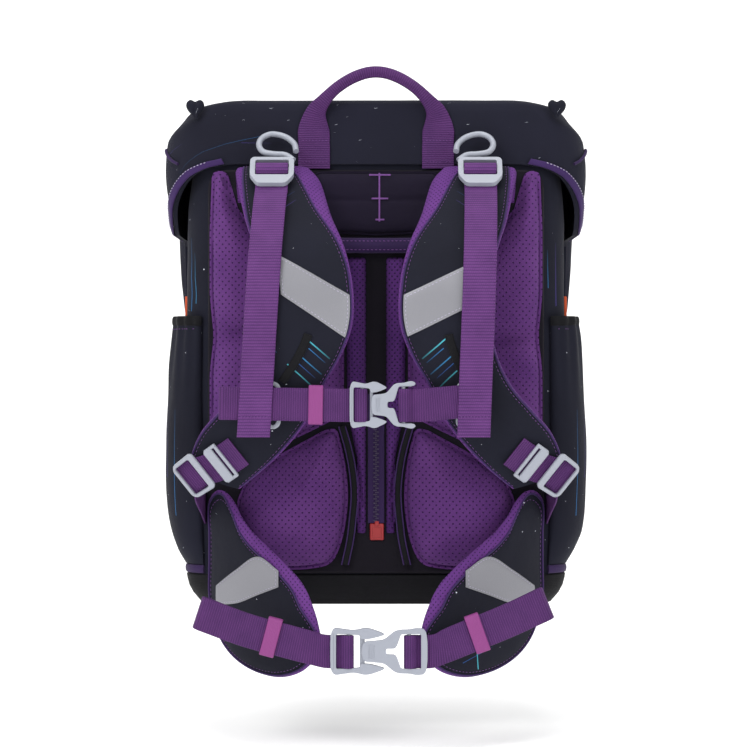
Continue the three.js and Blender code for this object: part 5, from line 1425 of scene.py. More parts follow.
class PaddedBack:
    """Board, pads, spine zip, neck panel and yoke."""

    def build(self) -> None:
        """Makes all the pieces of the back."""
        self.board()
        for side in Side:
            self.pads(side)
            self.strip(side)
            self.bead(side)
        self.neck()
        self.yoke()
        self.zip()
        self.handle()

    def board(self) -> None:
        """Flat board with round corners."""
        b = BOARD
        corners = [(-b.half, b.low), (b.half, b.low), (b.half, b.top), (-b.half, b.top)]
        edge = np.array(rounded(corners, b.corner, 8))
        centre = edge.mean(0)
        rings, front = [], -GAP - b.thick
        for size, y in ((0.98, -GAP), (1, -GAP - 1), (1, front + 1.6), (0.99, front), (0.5, front)):
            spots = centre + (edge - centre) * size
            rings.append(np.stack([spots[:, 0], np.full(len(edge), y), spots[:, 1]], 1))
        piece = skin("board", np.array(rings), [BOARD_CLOTH], flat_map=True)
        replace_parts(piece, "back_board")

    def pads(self, side: Side) -> None:
        """Side pad with its crease, and lumbar pad."""
        level = 211  # height of the crease

        def crease(spots: Array) -> Array:
            """Share of the thickness that is left beside the crease."""
            fold = spots[:, 1] - level - 2.5 * np.sin(spots[:, 0] / 17)
            fade = 0.5 + 0.5 * np.clip((np.abs(spots[:, 0]) - 25) / 60, 0, 1)
            return 1 - 0.5 * np.exp(-((fold / 8.5) ** 2)) * fade

        upper = pad(
            f"back_pad_{side}",
            BOARD.outline(SIDE_PAD_ROWS, side),
            PadForm(19, roll=19),
            PAD_MESH,
            middle=(BOARD.x(0.6, side), level),
            shape=crease,
        )
        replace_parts(upper, f"side_pad_{side}")
        lower = pad(
            f"lumbar_cushion_{side}",
            BOARD.outline(LUMBAR_ROWS, side),
            PadForm(26, roll=30, crown=0.2),
            PAD_MESH,
            middle=(BOARD.x(0.47, side), BOARD.z(0.17)),
            corner=14,
        )
        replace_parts(lower, f"lumbar_pad_{side}")

    def strip(self, side: Side) -> None:
        """Narrow pad beside the zip."""
        heights = np.linspace(STRIP_ROWS.data[0, 0], STRIP_ROWS.data[-1, 0], 26)
        outline = [(BOARD.x(STRIP_ROWS.read(up), side), BOARD.z(up)) for up in heights[::-1]]
        outline += [(BOARD.x(0.06, side), BOARD.z(up)) for up in heights]
        piece = pad(
            f"spine_pad_{side}",
            outline,
            PadForm(7, flange=0.6, lip=1.0, roll=5),
            STRIP_MESH,
            middle=(BOARD.x(0.115, side), BOARD.z(0.5)),
            corner=2,
            count=220,
        )
        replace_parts(piece, f"spine_strip_{side}")

    def bead(self, side: Side) -> None:
        """Dark piping between the lumbar pad and the zip."""
        points = [(BOARD.x(out, side), -(BOARD.seat + 2.5), BOARD.z(up)) for out, up in BEAD_ROWS]
        path = Curve(points).spaced(60)
        piece = rod(f"bead_{side}", path, BASE_CLOTH, 3.0, flat=0.83, sides=16)
        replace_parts(piece, f"lumbar_bead_{side}")
        for way in (-1, 1):
            end = "out" if way == side.value else "in"
            rod(f"bead_cord_{side}_{end}", path + [way * 2.6, -1.7, 0], TRIM, 0.55, sides=8)

    def neck(self) -> None:
        """Quilted panel between the straps, with a plain size scale."""
        outline = [(out * BOARD.half, BOARD.z(up)) for out, up in NECK_ROWS]

        def quilt(spots: Array) -> Array:
            """Share of the thickness that is left at the sewn line."""
            return 1 - 0.18 * np.exp(-(((spots[:, 1] - 318) / 2.2) ** 2))

        piece = pad("neck_pad", outline, PadForm(6, flange=2, lip=1.2, roll=9), NECK_CLOTH, shape=quilt)
        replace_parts(piece, "neck_panel")
        front = -(BOARD.seat + 6.4)
        scale = Block().brick((1.3, 0.5, 38), bevel=0.2)
        for z, width in ((17.5, 17), (-1, 13), (-17.5, 7)):
            scale.brick((width, 0.5, 1.3), (0.4, 0.05, z), 0.2)
        scale.done("size_scale", PURPLE_THREAD, np.array([2.6, front, 320.0]))

    def yoke(self) -> None:
        """Rolled edge across the top of the pads."""
        height = middle_of("harness_yoke")[2]
        across = np.linspace(-0.455, 0.455, 60) * BOARD.half
        sag = 2 * (1 - (across / across[-1]) ** 2)
        path = np.stack([across, np.full(60, -(BOARD.seat + 4.4)), height + 1 - sag * 0.6], 1)
        piece = rod("yoke_roll", path, DARK_TRIM, 6.0, flat=0.72, sides=20)
        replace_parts(piece, "harness_yoke")
        for lift, name in ((3.4, "upper"), (-3.4, "lower")):
            stitches(f"yoke_stitches_{name}", path[2:-2] + [0, -3.9, lift], PURPLE_THREAD, 3.2, 0.33)

    def zip(self) -> None:
        """Closed zip with its pull."""
        low, top = BOARD.z(0.125), 166.0
        tape = Block().brick((13, 1.5, top - low), bevel=0.4)
        place = np.array([0, -(BOARD.seat + 0.75), (top + low) / 2])
        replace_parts(tape.done("zip_tape", DARK_TRIM, place), "spine_zip")
        teeth = Block()
        for k, z in enumerate(np.arange(low + 2, top - 1, 1.7)):
            teeth.brick((3.0, 1.3, 1.0), (0.75 if k % 2 else -0.75, 0, z), 0.3)
        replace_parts(teeth.done("zip_teeth", ZIP_TEETH, np.array([0, -(BOARD.seat + 2.0), 0])), "spine_zip")
        pull = Block().brick((11, 2.4, 13), bevel=0.9)
        pull.brick((7, 0.8, 8), (0, -1.3, -0.6), 0.35)
        pull.brick((3.4, 3.0, 4), (0, -0.6, 6.5), 0.8)
        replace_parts(pull.done("red_tag", RED, middle_of("zip_pull")), "zip_pull")

    def handle(self) -> None:
        """Carry handle: flat webbing that rolls into a tube over the top."""
        spread, top, foot, roll = 48.7, 423.0, 343.0, 9.0
        deep = 3 * GAP + 3.0 + 0.55
        halves = [(-a, u, r) for a, u, r in HANDLE_ROWS] + [(0.0, 1.0, 1)]
        halves += [(a, u, r) for a, u, r in HANDLE_ROWS[::-1]]
        height = top - roll / 2 - foot
        points = [(a * spread, -deep - roll * 0.42 * r, foot + u * height, r) for a, u, r in halves]
        path = Curve(points).spaced(120)
        line, rolls = path[:, :3], np.clip(path[:, 3], 0, 1)
        along = unit(np.gradient(line, axis=0))
        across = unit(np.cross(along, [0, 1, 0]))
        out = unit(np.cross(across, along))
        wide = WEB_WIDTH / 2 + (roll / 2 - WEB_WIDTH / 2) * np.sqrt(rolls)
        thick = 0.9 + (roll / 2 - 0.9) * rolls
        sides = 28
        dent = np.exp(-((np.linspace(-math.pi, math.pi, sides) - 1.2) ** 2) / 0.08)
        rings = []
        for k in range(len(line)):
            spots = squircle(sides, 6 - 3.4 * rolls[k])
            seam = (1 - 0.16 * rolls[k] * dent)[:, None]
            ring = line[k] + across[k] * (wide[k] * spots[:, :1] * seam)
            rings.append(ring + out[k] * (thick[k] * spots[:, 1:] * seam))
        piece = skin("top_handle", np.array(rings), [PURPLE_WEB], sharp=60)
        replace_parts(piece, "carry_handle")
        for side in Side:
            x = side.value * spread
            for z in (foot + 5, foot + 22):
                line = np.array([(x + s, -deep - 1.1, z) for s in np.linspace(-10, 10, 12)])
                stitches(f"handle_stitches_{side}_{int(z)}", line, PURPLE_THREAD, 2.6, 0.3)


# Shoulder straps


STRAP_THICK = 12.0
STRAP_REACH = 90.0
# X, reach and Z of the outer and the inner edge in turn, as shares, then the share of the thickness
STRAP_ROWS = (
    (0.82, 0.425, 0.0, 0.0, 0.918, 0.918, 0.42),
    (0.828, 0.41, 0.035, 0.035, 0.962, 0.962, 0.62),
    (0.83, 0.386, 0.13, 0.125, 0.99, 0.99, 0.85),
    (0.815, 0.333, 0.31, 0.27, 0.963, 0.967, 1.0),
    (0.758, 0.262, 0.63, 0.57, 0.865, 0.878, 1.0),
    (0.694, 0.178, 0.84, 0.8, 0.786, 0.792, 1.0),
    (0.652, 0.132, 0.945, 0.9, 0.694, 0.7, 1.0),
    (0.652, 0.132, 0.95, 0.91, 0.611, 0.618, 1.0),
    (0.699, 0.189, 0.905, 0.875, 0.532, 0.547, 1.0),
    (0.781, 0.287, 0.83, 0.82, 0.465, 0.475, 1.0),
    (0.9, 0.403, 0.74, 0.75, 0.408, 0.379, 1.0),
    (1.02, 0.544, 0.63, 0.67, 0.349, 0.306, 0.95),
    (1.075, 0.685, 0.545, 0.585, 0.284, 0.252, 0.85),
    (1.035, 0.79, 0.5, 0.53, 0.25, 0.217, 0.6),
)


class StrapForm:
    """Middle surface of a shoulder strap. Along runs from its root, across from its outer edge."""

    def __init__(self, side: Side) -> None:
        """Args: side: of the bag."""
        self.side = side
        back = BOARD.seat + STRAP_THICK * STRAP_ROWS[0][6] / 2
        rails = []
        for k in (0, 1):
            rows = [(r[k], back + r[k + 2] * STRAP_REACH, r[k + 4]) for r in STRAP_ROWS]
            rails.append(Curve([(BOARD.x(x, side), -y, BOARD.z(z)) for x, y, z in rows]))
        self.outer, self.inner = rails
        self.thick = Curve([(r[6] * STRAP_THICK, 0.0, 0.0) for r in STRAP_ROWS])
        self.grid = np.concatenate([self.spots(i / 80, np.linspace(0, 1, 13), 1.0) for i in range(81)])

    def facing(self, along: float, across: Array) -> Array:
        """Returns the way that the strap's outside faces."""
        low, high = max(along - 0.01, 0), min(along + 0.01, 1)
        share = np.asarray(across, float)[:, None]
        ends = [self.outer.at(t) + (self.inner.at(t) - self.outer.at(t)) * share for t in (low, high)]
        sideways = unit(self.inner.at(along) - self.outer.at(along))
        return unit(np.cross(unit(ends[1] - ends[0]), sideways)) * -self.side.value

    def spots(
        self, along: float, across: Sequence[float], rise: float | Array, lift: float = 0.0
    ) -> Array:
        """Returns points on or near the strap.

        Args:
            along: share of its length.
            across: shares of its width.
            rise: shares of its half thickness, negative at the back.
            lift: further distance out.
        """
        across = np.asarray(across, float)
        outer, inner = self.outer.at(along), self.inner.at(along)
        half = self.thick.at(along)[0] / 2
        out = np.asarray(rise, float) * half + lift
        middle = outer + (inner - outer) * across[:, None]
        return middle + self.facing(along, across) * np.broadcast_to(out, across.shape)[:, None]

    def front(self, x: float, z: float, wide: float, tall: float) -> float:
        """Returns the lowest Y of the strap's outside over a region of X and Z."""
        near = (np.abs(self.grid[:, 0] - x) <= wide) & (np.abs(self.grid[:, 2] - z) <= tall)
        return float(self.grid[near, 1].min()) if near.any() else 0.0

    def line(self, ends: Sequence[Pair], count: int, lift: float) -> Array:
        """Returns a path over the strap's face through places given as along and across."""
        route = Curve([(a, b, 0.0) for a, b in ends]).spaced(count)
        return np.array([self.face(a, b, lift) for a, b, _ in route])

    def face(self, along: float, across: float, lift: float) -> Array:
        """Returns a point on the strap's padded face, or lifted from it."""
        return self.spots(along, [across], self.swell(np.array([across])), lift)[0]

    @staticmethod
    def swell(across: Array) -> Array:
        """Returns the share of the half thickness that the padding has across the strap."""
        return np.clip(1 - np.abs(2 * across - 1) ** 3.4, 0, 1) ** (1 / 3.4)


# Where the reflective patch starts and ends along a strap, at its outer and its inner edge
PATCH_ROWS = {
    Side.LEFT: ((0.2, 0.396, 0.475), (0.95, 0.479, 0.575)),
    Side.RIGHT: ((0.26, 0.417, 0.504), (0.94, 0.479, 0.572)),
}
TAPE_ROWS = {Side.LEFT: ((0.562, 0.525), (0.679, 0.45)), Side.RIGHT: ((0.562, 0.475), (0.658, 0.475))}


class ShoulderStrap:
    """Padded strap with its reflective patch and raised tape."""

    def __init__(self, form: StrapForm) -> None:
        """Args: form: its middle surface."""
        self.form = form
        self.side = form.side

    @staticmethod
    def seams(along: float) -> Pair:
        """Returns where the dark cloth starts and ends across the strap."""
        outer = 0.02 + 0.1 * (1 - smooth(along, 0.12, 0.34))
        inner = 1 - (0.035 + 0.3 * (1 - smooth(along, 0.15, 0.44)))
        return outer, inner

    def build(self) -> None:
        """Makes the strap's pieces."""
        self.body()
        self.patch()
        self.tape()

    def body(self) -> None:
        """Padding covered with dark cloth in front and mesh at its edges and back."""
        form, rings = self.form, []
        edge, face, back = 5, 26, 16
        for along in np.linspace(0, 1, 170):
            start, end = self.seams(along)
            outside = np.linspace(0, start, edge, endpoint=False)
            inside = np.linspace(end, 1, edge + 1)[1:]
            across = np.concatenate([outside, np.linspace(start, end, face), inside])
            rise = form.swell(across)
            for seam in (start, end):
                rise = rise - 0.16 * np.exp(-(((across - seam) * 66 / 1.3) ** 2)) * (rise > 0.4)
            behind = np.linspace(1, 0, back)[1:-1]
            front = form.spots(along, across, rise)
            rear = form.spots(along, behind, -form.swell(behind) * 0.96)
            rings.append(np.concatenate([front, rear]))
        rings = np.array(rings)
        rings[:, :, 1] += ripple(rings, 26, 0.5, 4 + self.side.value)
        dark = range(edge, edge + face - 1)
        piece = skin(
            f"strap_{self.side}",
            rings,
            [STRAP_CLOTH, EDGE_MESH],
            pick=lambda row, column: 0 if column in dark else 1,
            sharp=75,
        )
        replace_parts(piece, f"shoulder_strap_{self.side}")
        places = np.linspace(0.03, 0.985, 150)
        for k, shift, name in ((0, 0.035, "outer"), (1, -0.035, "inner")):
            line = np.array([form.face(t, self.seams(t)[k], -0.4) for t in places])
            rod(f"strap_piping_{name}_{self.side}", line, TRIM, 0.75, sides=8)
            sewn = np.array([form.face(t, self.seams(t)[k] + shift, 0.05) for t in places])
            stitches(f"strap_stitches_{name}_{self.side}", sewn, PURPLE_THREAD, 3.4, 0.24)

    def patch(self) -> None:
        """Reflective patch across the strap."""
        outer, inner = PATCH_ROWS[self.side]

        def place(across: float, share: float, lift: float) -> Array:
            """Point of the patch on the strap's face."""
            inward = (across - outer[0]) / (inner[0] - outer[0])
            start, end = (a + (b - a) * inward for a, b in zip(outer[1:], inner[1:]))
            return self.form.face(start + (end - start) * share, across, lift)

        columns = np.linspace(outer[0], inner[0], 22)
        piece = film(f"strap_patch_{self.side}", columns, np.linspace(0, 1, 16), place, (0.95, 0.2))
        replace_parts(piece, f"strap_reflector_{self.side}")
        low, high = outer[0] + 0.025, inner[0] - 0.025
        border = [(low, 0.07), (high, 0.07), (high, 0.93), (low, 0.93), (low, 0.07)]
        line = []
        for (a, s), (b, t) in zip(border, border[1:]):
            shares = np.linspace(0, 1, 16, endpoint=False)
            line += [place(a + (b - a) * w, s + (t - s) * w, 1.0) for w in shares]
        stitches(f"patch_stitches_{self.side}", np.array(line), THREAD, 3.0, 0.24)

    def tape(self) -> None:
        """Raised dark tape sewn on the strap below the patch."""
        line = self.form.line(TAPE_ROWS[self.side], 30, 0.4)
        wides = np.cross(np.gradient(line, axis=0), [0.0, 1.0, 0.0])
        ribbon(f"strap_tape_{self.side}", line, wides, BASE_CLOTH, width=6.5, thick=2.0)


# Load adjusters


@dataclass(frozen=True)
class HookSizes:
    """Slider and hook that are moulded in one, in the plane of the slider."""

    width: float = 34.0
    thick: float = 4.0
    top: float = 13.5
    rail: float = 3.5
    lip: float = 7.5
    bottom: float = 17.5
    bar: float = 0.6
    bar_radius: float = 1.5
    wire: float = 4.6
    hook_width: float = 33.0
    hook_height: float = 30.0
    lean: float = 46.0


# The hook's wire from the slider on, as shares of its width and height
HOOK_ROWS = (
    (0.55, 0.3), (0.5, 0.6), (0.27, 0.9), (-0.05, 1.0), (-0.26, 0.84), (-0.33, 0.56), (-0.22, 0.28),
    (0.03, 0.19), (0.3, 0.15), (0.5, -0.06),
)
# How far behind the slider, as a share, and how high the webbing runs round its bar
TURN_ROWS = (
    (2, -2), (1.75, 2.2), (0.9, 4.5), (-0.3, 4.9), (-1.15, 3.2), (-1.3, 0.6), (-1.0, -1.9), (0.0, -4.0),
    (0.95, -5.2), (1, -8), (1, -17),
)


class LoadAdjuster:
    """Hook and slider on a strap's top, with the webbing that runs through it."""

    PLACE = (0.235, 0.42)
    TAIL_END = 134.0
    TAIL_DRIFT = {Side.LEFT: -12.0, Side.RIGHT: -7.0}

    def __init__(self, form: StrapForm, sizes: HookSizes, chest_y: float) -> None:
        """Args: form: of the strap. sizes: of the hook. chest_y: Y of the chest webbing's middle."""
        self.form, self.sizes, self.side, self.chest_y = form, sizes, form.side, chest_y
        lean = math.radians(sizes.lean)
        self.up = np.array([0.0, math.sin(lean), math.cos(lean)])
        self.out = np.array([0.0, -math.cos(lean), math.sin(lean)])
        stand = 4 * GAP + 2 * WEB_THICK + sizes.thick / 2
        self.centre = form.spots(self.PLACE[0], [self.PLACE[1]], 1.0)[0] + self.out * stand

    def build(self) -> None:
        """Makes the adjuster's pieces."""
        self.hook()
        self.webbing()

    def hook(self) -> None:
        """Slider with a window and a bar, and a wire hook above it."""
        s, half = self.sizes, self.sizes.width / 2
        right = [(half - 2, s.top), (half, s.top - 3), (half, -s.lip), (half - 6, -s.bottom)]
        left = [(-x, z) for x, z in right[::-1]]
        outline = left[-1:] + right + left[:-1]
        room = WEB_ROOM / 2 - 0.3
        window = [(-room, s.top - s.rail), (room, s.top - s.rail), (room, -s.lip), (-room, -s.lip)]
        block = Block().slab(rounded(outline, 3), -s.thick / 2, s.thick / 2, 0.9, rounded(window, 1.6))
        block.pin(s.bar_radius, s.width - 4, (0, 0, s.bar), upright=False)
        route = [(-self.side.value * a * s.hook_width, 0, s.top + b * s.hook_height) for a, b in HOOK_ROWS]
        block.wire(Curve(route).spaced(64), s.wire / 2)
        axes = np.array([[1.0, 0, 0], -self.out, self.up])
        piece = block.done(f"adjuster_hook_{self.side}", PLASTIC, self.centre, axes)
        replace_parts(piece, f"lifter_hook_{self.side}")

    def webbing(self) -> None:
        """Webbing from behind the slider over its bar, and its long tail."""
        inner = self.sizes.thick / 2 + GAP + WEB_THICK / 2
        layer = WEB_THICK + GAP * 1.5

        def at(a: float, b: float) -> Array:
            """Point on layer a of the webbing, at height b from the bar."""
            reach = inner + (a - 1) * layer if a > 1 else a * inner
            return self.centre - self.out * reach + self.up * b

        points = [at(2, -21), at(2, -11)] + [at(a, b) for a, b in TURN_ROWS]
        start = points[-1]
        for share in np.linspace(0, 1, 17)[1:]:
            z = start[2] + (self.TAIL_END - start[2]) * share
            x = start[0] + self.TAIL_DRIFT[self.side] * share
            strap = self.form.front(x, z, WEB_WIDTH * 0.7, 7)
            crossed = z < ChestStrap.HEIGHT + WEB_WIDTH
            chest = self.chest_y - BELT_LAYERS / 2 - WEB_THICK / 2 if crossed else 0
            y = min(strap - 1.7, chest) - GAP * 1.6 - WEB_THICK / 2
            points.append(np.array([x, min(y, start[1]), z]))
        path = Curve(points).spaced(260)
        thick = np.full(len(path), WEB_THICK)
        thick[-14:] = WEB_THICK * 1.7
        piece = ribbon(f"adjuster_webbing_{self.side}", path, (1, 0, 0), TAIL_WEB, thick=thick)
        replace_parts(piece, f"lifter_webbing_{self.side}")
        end = path[-16]
        line = np.array([end + [x, -1.5, 0] for x in np.linspace(-11, 11, 12)])
        stitches(f"adjuster_stitches_{self.side}", line, PURPLE_THREAD, 2.4, 0.3)


# Belts and buckles


# How the webbing turns round a buckle's bar, in millimetres along and out
BAR_TURN = (
    (-10, -1.2), (-6.6, -1.15), (-4.6, 0.9), (-2.4, 2.7), (0, 3.1), (2.3, 2.1), (3.1, 0), (2.3, -2.4),
    (0, -3.7), (-4, -4),
)
BAR_SHARE = 0.31
BAR_OFFSET = 2.6
BELT_LAYERS = 2.8


@dataclass(frozen=True)
class BeltRun:
    """One side of a belt: from the buckle's bar to its fold."""

    name: str
    node: str
    side: Side
    bar: Array
    run: Callable[[float], Array]
    wide: Callable[[float], Array]
    fold_open: float

    def build(self) -> None:
        """Makes the loop of webbing."""
        facing = np.array([0.0, -1.0, 0.0])
        shares = np.linspace(1, 0, 11)

        def gap(share: float) -> float:
            """Distance of the tail from the belt's middle, which opens near the fold."""
            return BELT_LAYERS / 2 + self.fold_open * share**3

        stations = [(self.run(s) + facing * gap(s), self.wide(s)) for s in shares]
        for along, out in BAR_TURN:
            stations.append((self.bar + [-self.side.value * along, 0, 0] + facing * out, self.wide(0)))
        stations += [(self.run(s) - facing * gap(s), self.wide(s)) for s in shares[::-1]]
        end, away = self.run(1), unit(self.run(1) - self.run(0.9))
        radius = BELT_LAYERS / 2 + self.fold_open
        for angle in np.radians((45, 90, 135)):
            spot = end + away * radius * math.sin(angle) - facing * radius * math.cos(angle)
            stations.append((spot, self.wide(1)))
        both = Curve([np.concatenate(station) for station in stations], closed=True).spaced(320)
        piece = ribbon(self.name, both[:, :3], both[:, 3:], PURPLE_WEB, looped=True)
        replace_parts(piece, self.node)


def keeper(name: str, node: str, tilt: Array, layers: float) -> None:
    """Elastic ring round both layers of a belt.

    Args:
        name: of the piece.
        node: that it replaces, which gives its middle.
        tilt: direction of the belt's width there.
        layers: distance between the layers' middles.
    """
    middle = middle_of(node)
    wall = 1.3
    deep, tall = (layers + WEB_THICK) / 2 + GAP + wall / 2, WEB_ROOM / 2 + GAP + wall / 2
    corners = rounded([(-deep, -tall), (deep, -tall), (deep, tall), (-deep, tall)], 1.6, 5)
    tall_way = unit(tilt)
    wide_way = unit(np.cross(tall_way, [0.0, 1.0, 0.0]))
    run = np.array([middle + np.array([0.0, y, 0.0]) + tall_way * z for y, z in corners])
    path = Curve(run, closed=True).spaced(90)
    piece = ribbon(name, path, wide_way, ELASTIC, width=11, thick=wall, looped=True)
    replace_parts(piece, node)


# Upper halves of the buckle's outlines
FORK_ROWS = (
    (-0.5, 0.55), (-0.488, 1.12), (-0.455, 1.34), (-0.36, 1.27), (-0.27, 1.2), (-0.21, 1.24),
    (-0.15, 1.33), (-0.09, 1.3), (-0.03, 1.19), (0.03, 1.07), (0.065, 0.96), (0.0, 0.84), (-0.09, 0.72),
    (-0.185, 0.68), (-0.195, 0.93), (-0.44, 1.0),
)
PLATE_ROWS = (
    (-0.178, 0.15), (-0.16, 0.48), (-0.13, 0.58), (-0.02, 0.62), (0.055, 0.68), (0.105, 0.9),
    (0.16, 1.15), (0.215, 1.24), (0.31, 1.25), (0.39, 1.34),
)
RAIL_ROWS = ((0.46, 1.3), (0.488, 1.08), (0.5, 0.55))
RAIL_HOLE = ((0.435, 0.99), (0.228, 0.98), (0.188, 0.34), (0.165, 0.17), (0.075, 0.16))
ARM_ROWS = (
    (0.45, 1.36), (0.5, 1.22), (0.47, 1.08), (0.24, 1.04), (0.188, 0.36), (0.165, 0.19), (0.072, 0.17),
)
ARM_BACK_ROWS = (
    (0.1, 0.86), (0.16, 1.12), (0.215, 1.22), (0.31, 1.23), (0.39, 1.32), (0.44, 1.2), (0.44, 1.04),
    (0.2, 1.02),
)


@dataclass(frozen=True)
class BuckleForm:
    """Side-release buckle. Its rows are shares of its length, and of half the webbing's room across."""

    name: str
    length: float
    railed: bool
    thick: float = 5.0

    def outline(self, rows: Sequence[Pair]) -> List[Pair]:
        """Returns rows above the middle line mirrored below it."""
        upper = [(a * self.length, b * WEB_ROOM / 2) for a, b in rows]
        return upper + [(x, -z) for x, z in upper[::-1]]

    def build(self) -> None:
        """Makes both halves."""
        self.frame()
        self.plate()

    def frame(self) -> None:
        """Fork round the webbing's bar, with a horn above and below the plate and a tongue behind it."""
        size, half = self.length, self.thick / 2
        block = Block().slab(rounded(self.outline(FORK_ROWS), 1.8), -half, half, 1.0)
        block.pin(1.5, WEB_ROOM + 3, (-BAR_SHARE * size, 0, 0))
        block.brick((0.25 * size, half - 0.4, WEB_ROOM / 2), (-0.065 * size, (half + 0.4) / 2, 0), 0.5)
        block.brick((0.05 * size, half, WEB_ROOM * 0.86), (-0.17 * size, half * 0.55, 0), 0.6)
        block.brick((0.03 * size, 1.0, WEB_ROOM * 0.98), (-0.482 * size, -half - 0.2, 0), 0.4)
        self.place(block, "fork", f"{self.name}_buckle_frame")

    def plate(self) -> None:
        """Plate over the tongue that ends in two arms round the webbing's bar."""
        size, half = self.length, self.thick / 2
        block = Block()
        if self.railed:
            outline = rounded(self.outline(PLATE_ROWS + RAIL_ROWS), 2.2)
            block.slab(outline, -half - 0.3, -0.3, 0.9, rounded(self.outline(RAIL_HOLE), 1.3))
        else:
            block.slab(rounded(self.outline(PLATE_ROWS + ARM_ROWS), 1.6), -half - 0.3, -0.3, 0.8)
        for way in (1, -1):
            rows = [(a * size, way * b * WEB_ROOM / 2) for a, b in ARM_BACK_ROWS]
            block.slab(rounded(rows, 1.5), -0.6, half, 0.6)
        block.pin(1.5, WEB_ROOM + 3, (BAR_SHARE * size, 0, 0))
        for along in (-0.1, -0.075, -0.05):
            block.brick((0.009 * size, 0.7, WEB_ROOM * 0.4), (along * size, -half - 0.3, 0), 0.25)
        self.place(block, "plate", f"{self.name}_buckle_plate")

    def place(self, block: Block, half: str, node: str) -> None:
        """Puts a half at the buckle's middle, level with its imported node."""
        origin = middle_of(node) * [0, 1, 0] + self.centre
        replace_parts(block.done(f"{self.name}_{half}", PLASTIC, origin), node)

    @property
    def centre(self) -> Array:
        """Middle of the whole buckle in X and Z."""
        frame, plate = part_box(f"{self.name}_buckle_frame"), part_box(f"{self.name}_buckle_plate")
        middle = (np.array(frame[0]) + np.array(plate[1])) / 2 / MM - ORIGIN
        return middle * [1, 0, 1]


class ChestStrap:
    """Chest strap: a loop on each side, clips, keeper and buckle."""

    SPAN = {Side.LEFT: 116.0, Side.RIGHT: 72.0}
    TILT = {Side.LEFT: 1.0, Side.RIGHT: 5.0}
    HEIGHT = 158.0
    CENTRE = 5.0
    LENGTH = 50.0

    def __init__(self) -> None:
        """Finds the strap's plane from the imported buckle."""
        self.plane = middle_of("chest_buckle_frame")[1] + BAR_OFFSET

    def build(self) -> None:
        """Makes the chest strap's pieces."""
        for side in Side:
            self.loop(side)
            self.clip(side)
        tilt = math.radians(self.TILT[Side.LEFT])
        keeper("chest_ring", "chest_keeper", np.array([math.sin(tilt), 0, math.cos(tilt)]), BELT_LAYERS)
        BuckleForm("chest", self.LENGTH, railed=False).build()

    def loop(self, side: Side) -> None:
        """One side's webbing."""
        way, tilt = side.value, math.radians(self.TILT[side])
        bar = np.array([self.CENTRE + way * self.LENGTH * BAR_SHARE, self.plane - BAR_OFFSET, self.HEIGHT])
        start, end = bar[0] + way * 12, way * self.SPAN[side]

        def run(share: float) -> Array:
            """Middle of the chest webbing at a share of its length."""
            x = start + (end - start) * share
            return np.array([x, self.plane, self.HEIGHT + math.tan(tilt) * share * abs(end - start)])

        def wide(share: float) -> Array:
            """Direction across the chest webbing at a share of its length."""
            return unit(np.array([-way * math.sin(tilt) * min(share * 3, 1), 0.0, 1.0]))

        BeltRun(f"chest_band_{side}", f"chest_webbing_{side}", side, bar, run, wide, 0.3).build()

    def clip(self, side: Side) -> None:
        """Pill-shaped clip behind the webbing."""
        node = f"chest_clip_{side}"
        radius, reach = 6, 12
        pill = []
        for turn in circle(32):
            rise = math.sin(turn)
            pill.append((radius * math.cos(turn), radius * rise + (reach if rise >= 0 else -reach)))
        hole = [(x * 0.5, z * 0.82) for x, z in pill]
        block = Block().slab(pill, -1.5, 1.5, 0.8, hole)
        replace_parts(block.done(f"chest_slide_{side}", PLASTIC, middle_of(node)), node)


# Share of the belt, and X, rise and tilt in degrees there
BELT_ROWS = {
    Side.LEFT: Rows((0, 39, 0.3, 1), (0.25, 61, 6, 13), (0.6, 98, 16, 16), (1, 130, 27.5, 18)),
    Side.RIGHT: Rows((0, 43, 0.3, 1), (0.25, 63, 8.5, 18), (0.6, 98, 22.5, 21), (1, 125, 34.5, 22)),
}


class HipBelt:
    """Hip belt in front of the fins: a loop on each side, keepers and buckle."""

    CENTRE = 2.0
    HEIGHT = -27.0
    LENGTH = 73.0
    KEEPER = {Side.LEFT: 0.42, Side.RIGHT: 0.38}

    def build(self) -> None:
        """Makes the belt's pieces."""
        plane = middle_of("hip_buckle_frame")[1] + BAR_OFFSET
        for side in Side:
            self.loop(side, plane)
        BuckleForm("hip", self.LENGTH, railed=True).build()

    def loop(self, side: Side, plane: float) -> None:
        """One side's webbing and keeper."""
        way, rows = side.value, BELT_ROWS[side]
        bar = np.array([self.CENTRE + way * self.LENGTH * BAR_SHARE, plane - BAR_OFFSET, self.HEIGHT])

        def run(share: float) -> Array:
            """Middle of the hip belt at a share of its length."""
            x, z = way * rows.read(share, 1), self.HEIGHT + rows.read(share, 2)
            return np.array([x, plane + 6 * share**2, z])

        def wide(share: float) -> Array:
            """Direction across the hip belt at a share of its length."""
            tilt = math.radians(rows.read(share, 3)) * smooth(share, 0, 0.12)
            return np.array([-way * math.sin(tilt), 0.0, math.cos(tilt)])

        BeltRun(f"hip_band_{side}", f"hip_belt_{side}", side, bar, run, wide, 3.0).build()
        share = self.KEEPER[side]
        keeper(f"hip_ring_{side}", f"belt_keeper_{side}", wide(share), BELT_LAYERS + 1.4)


# Strap ends


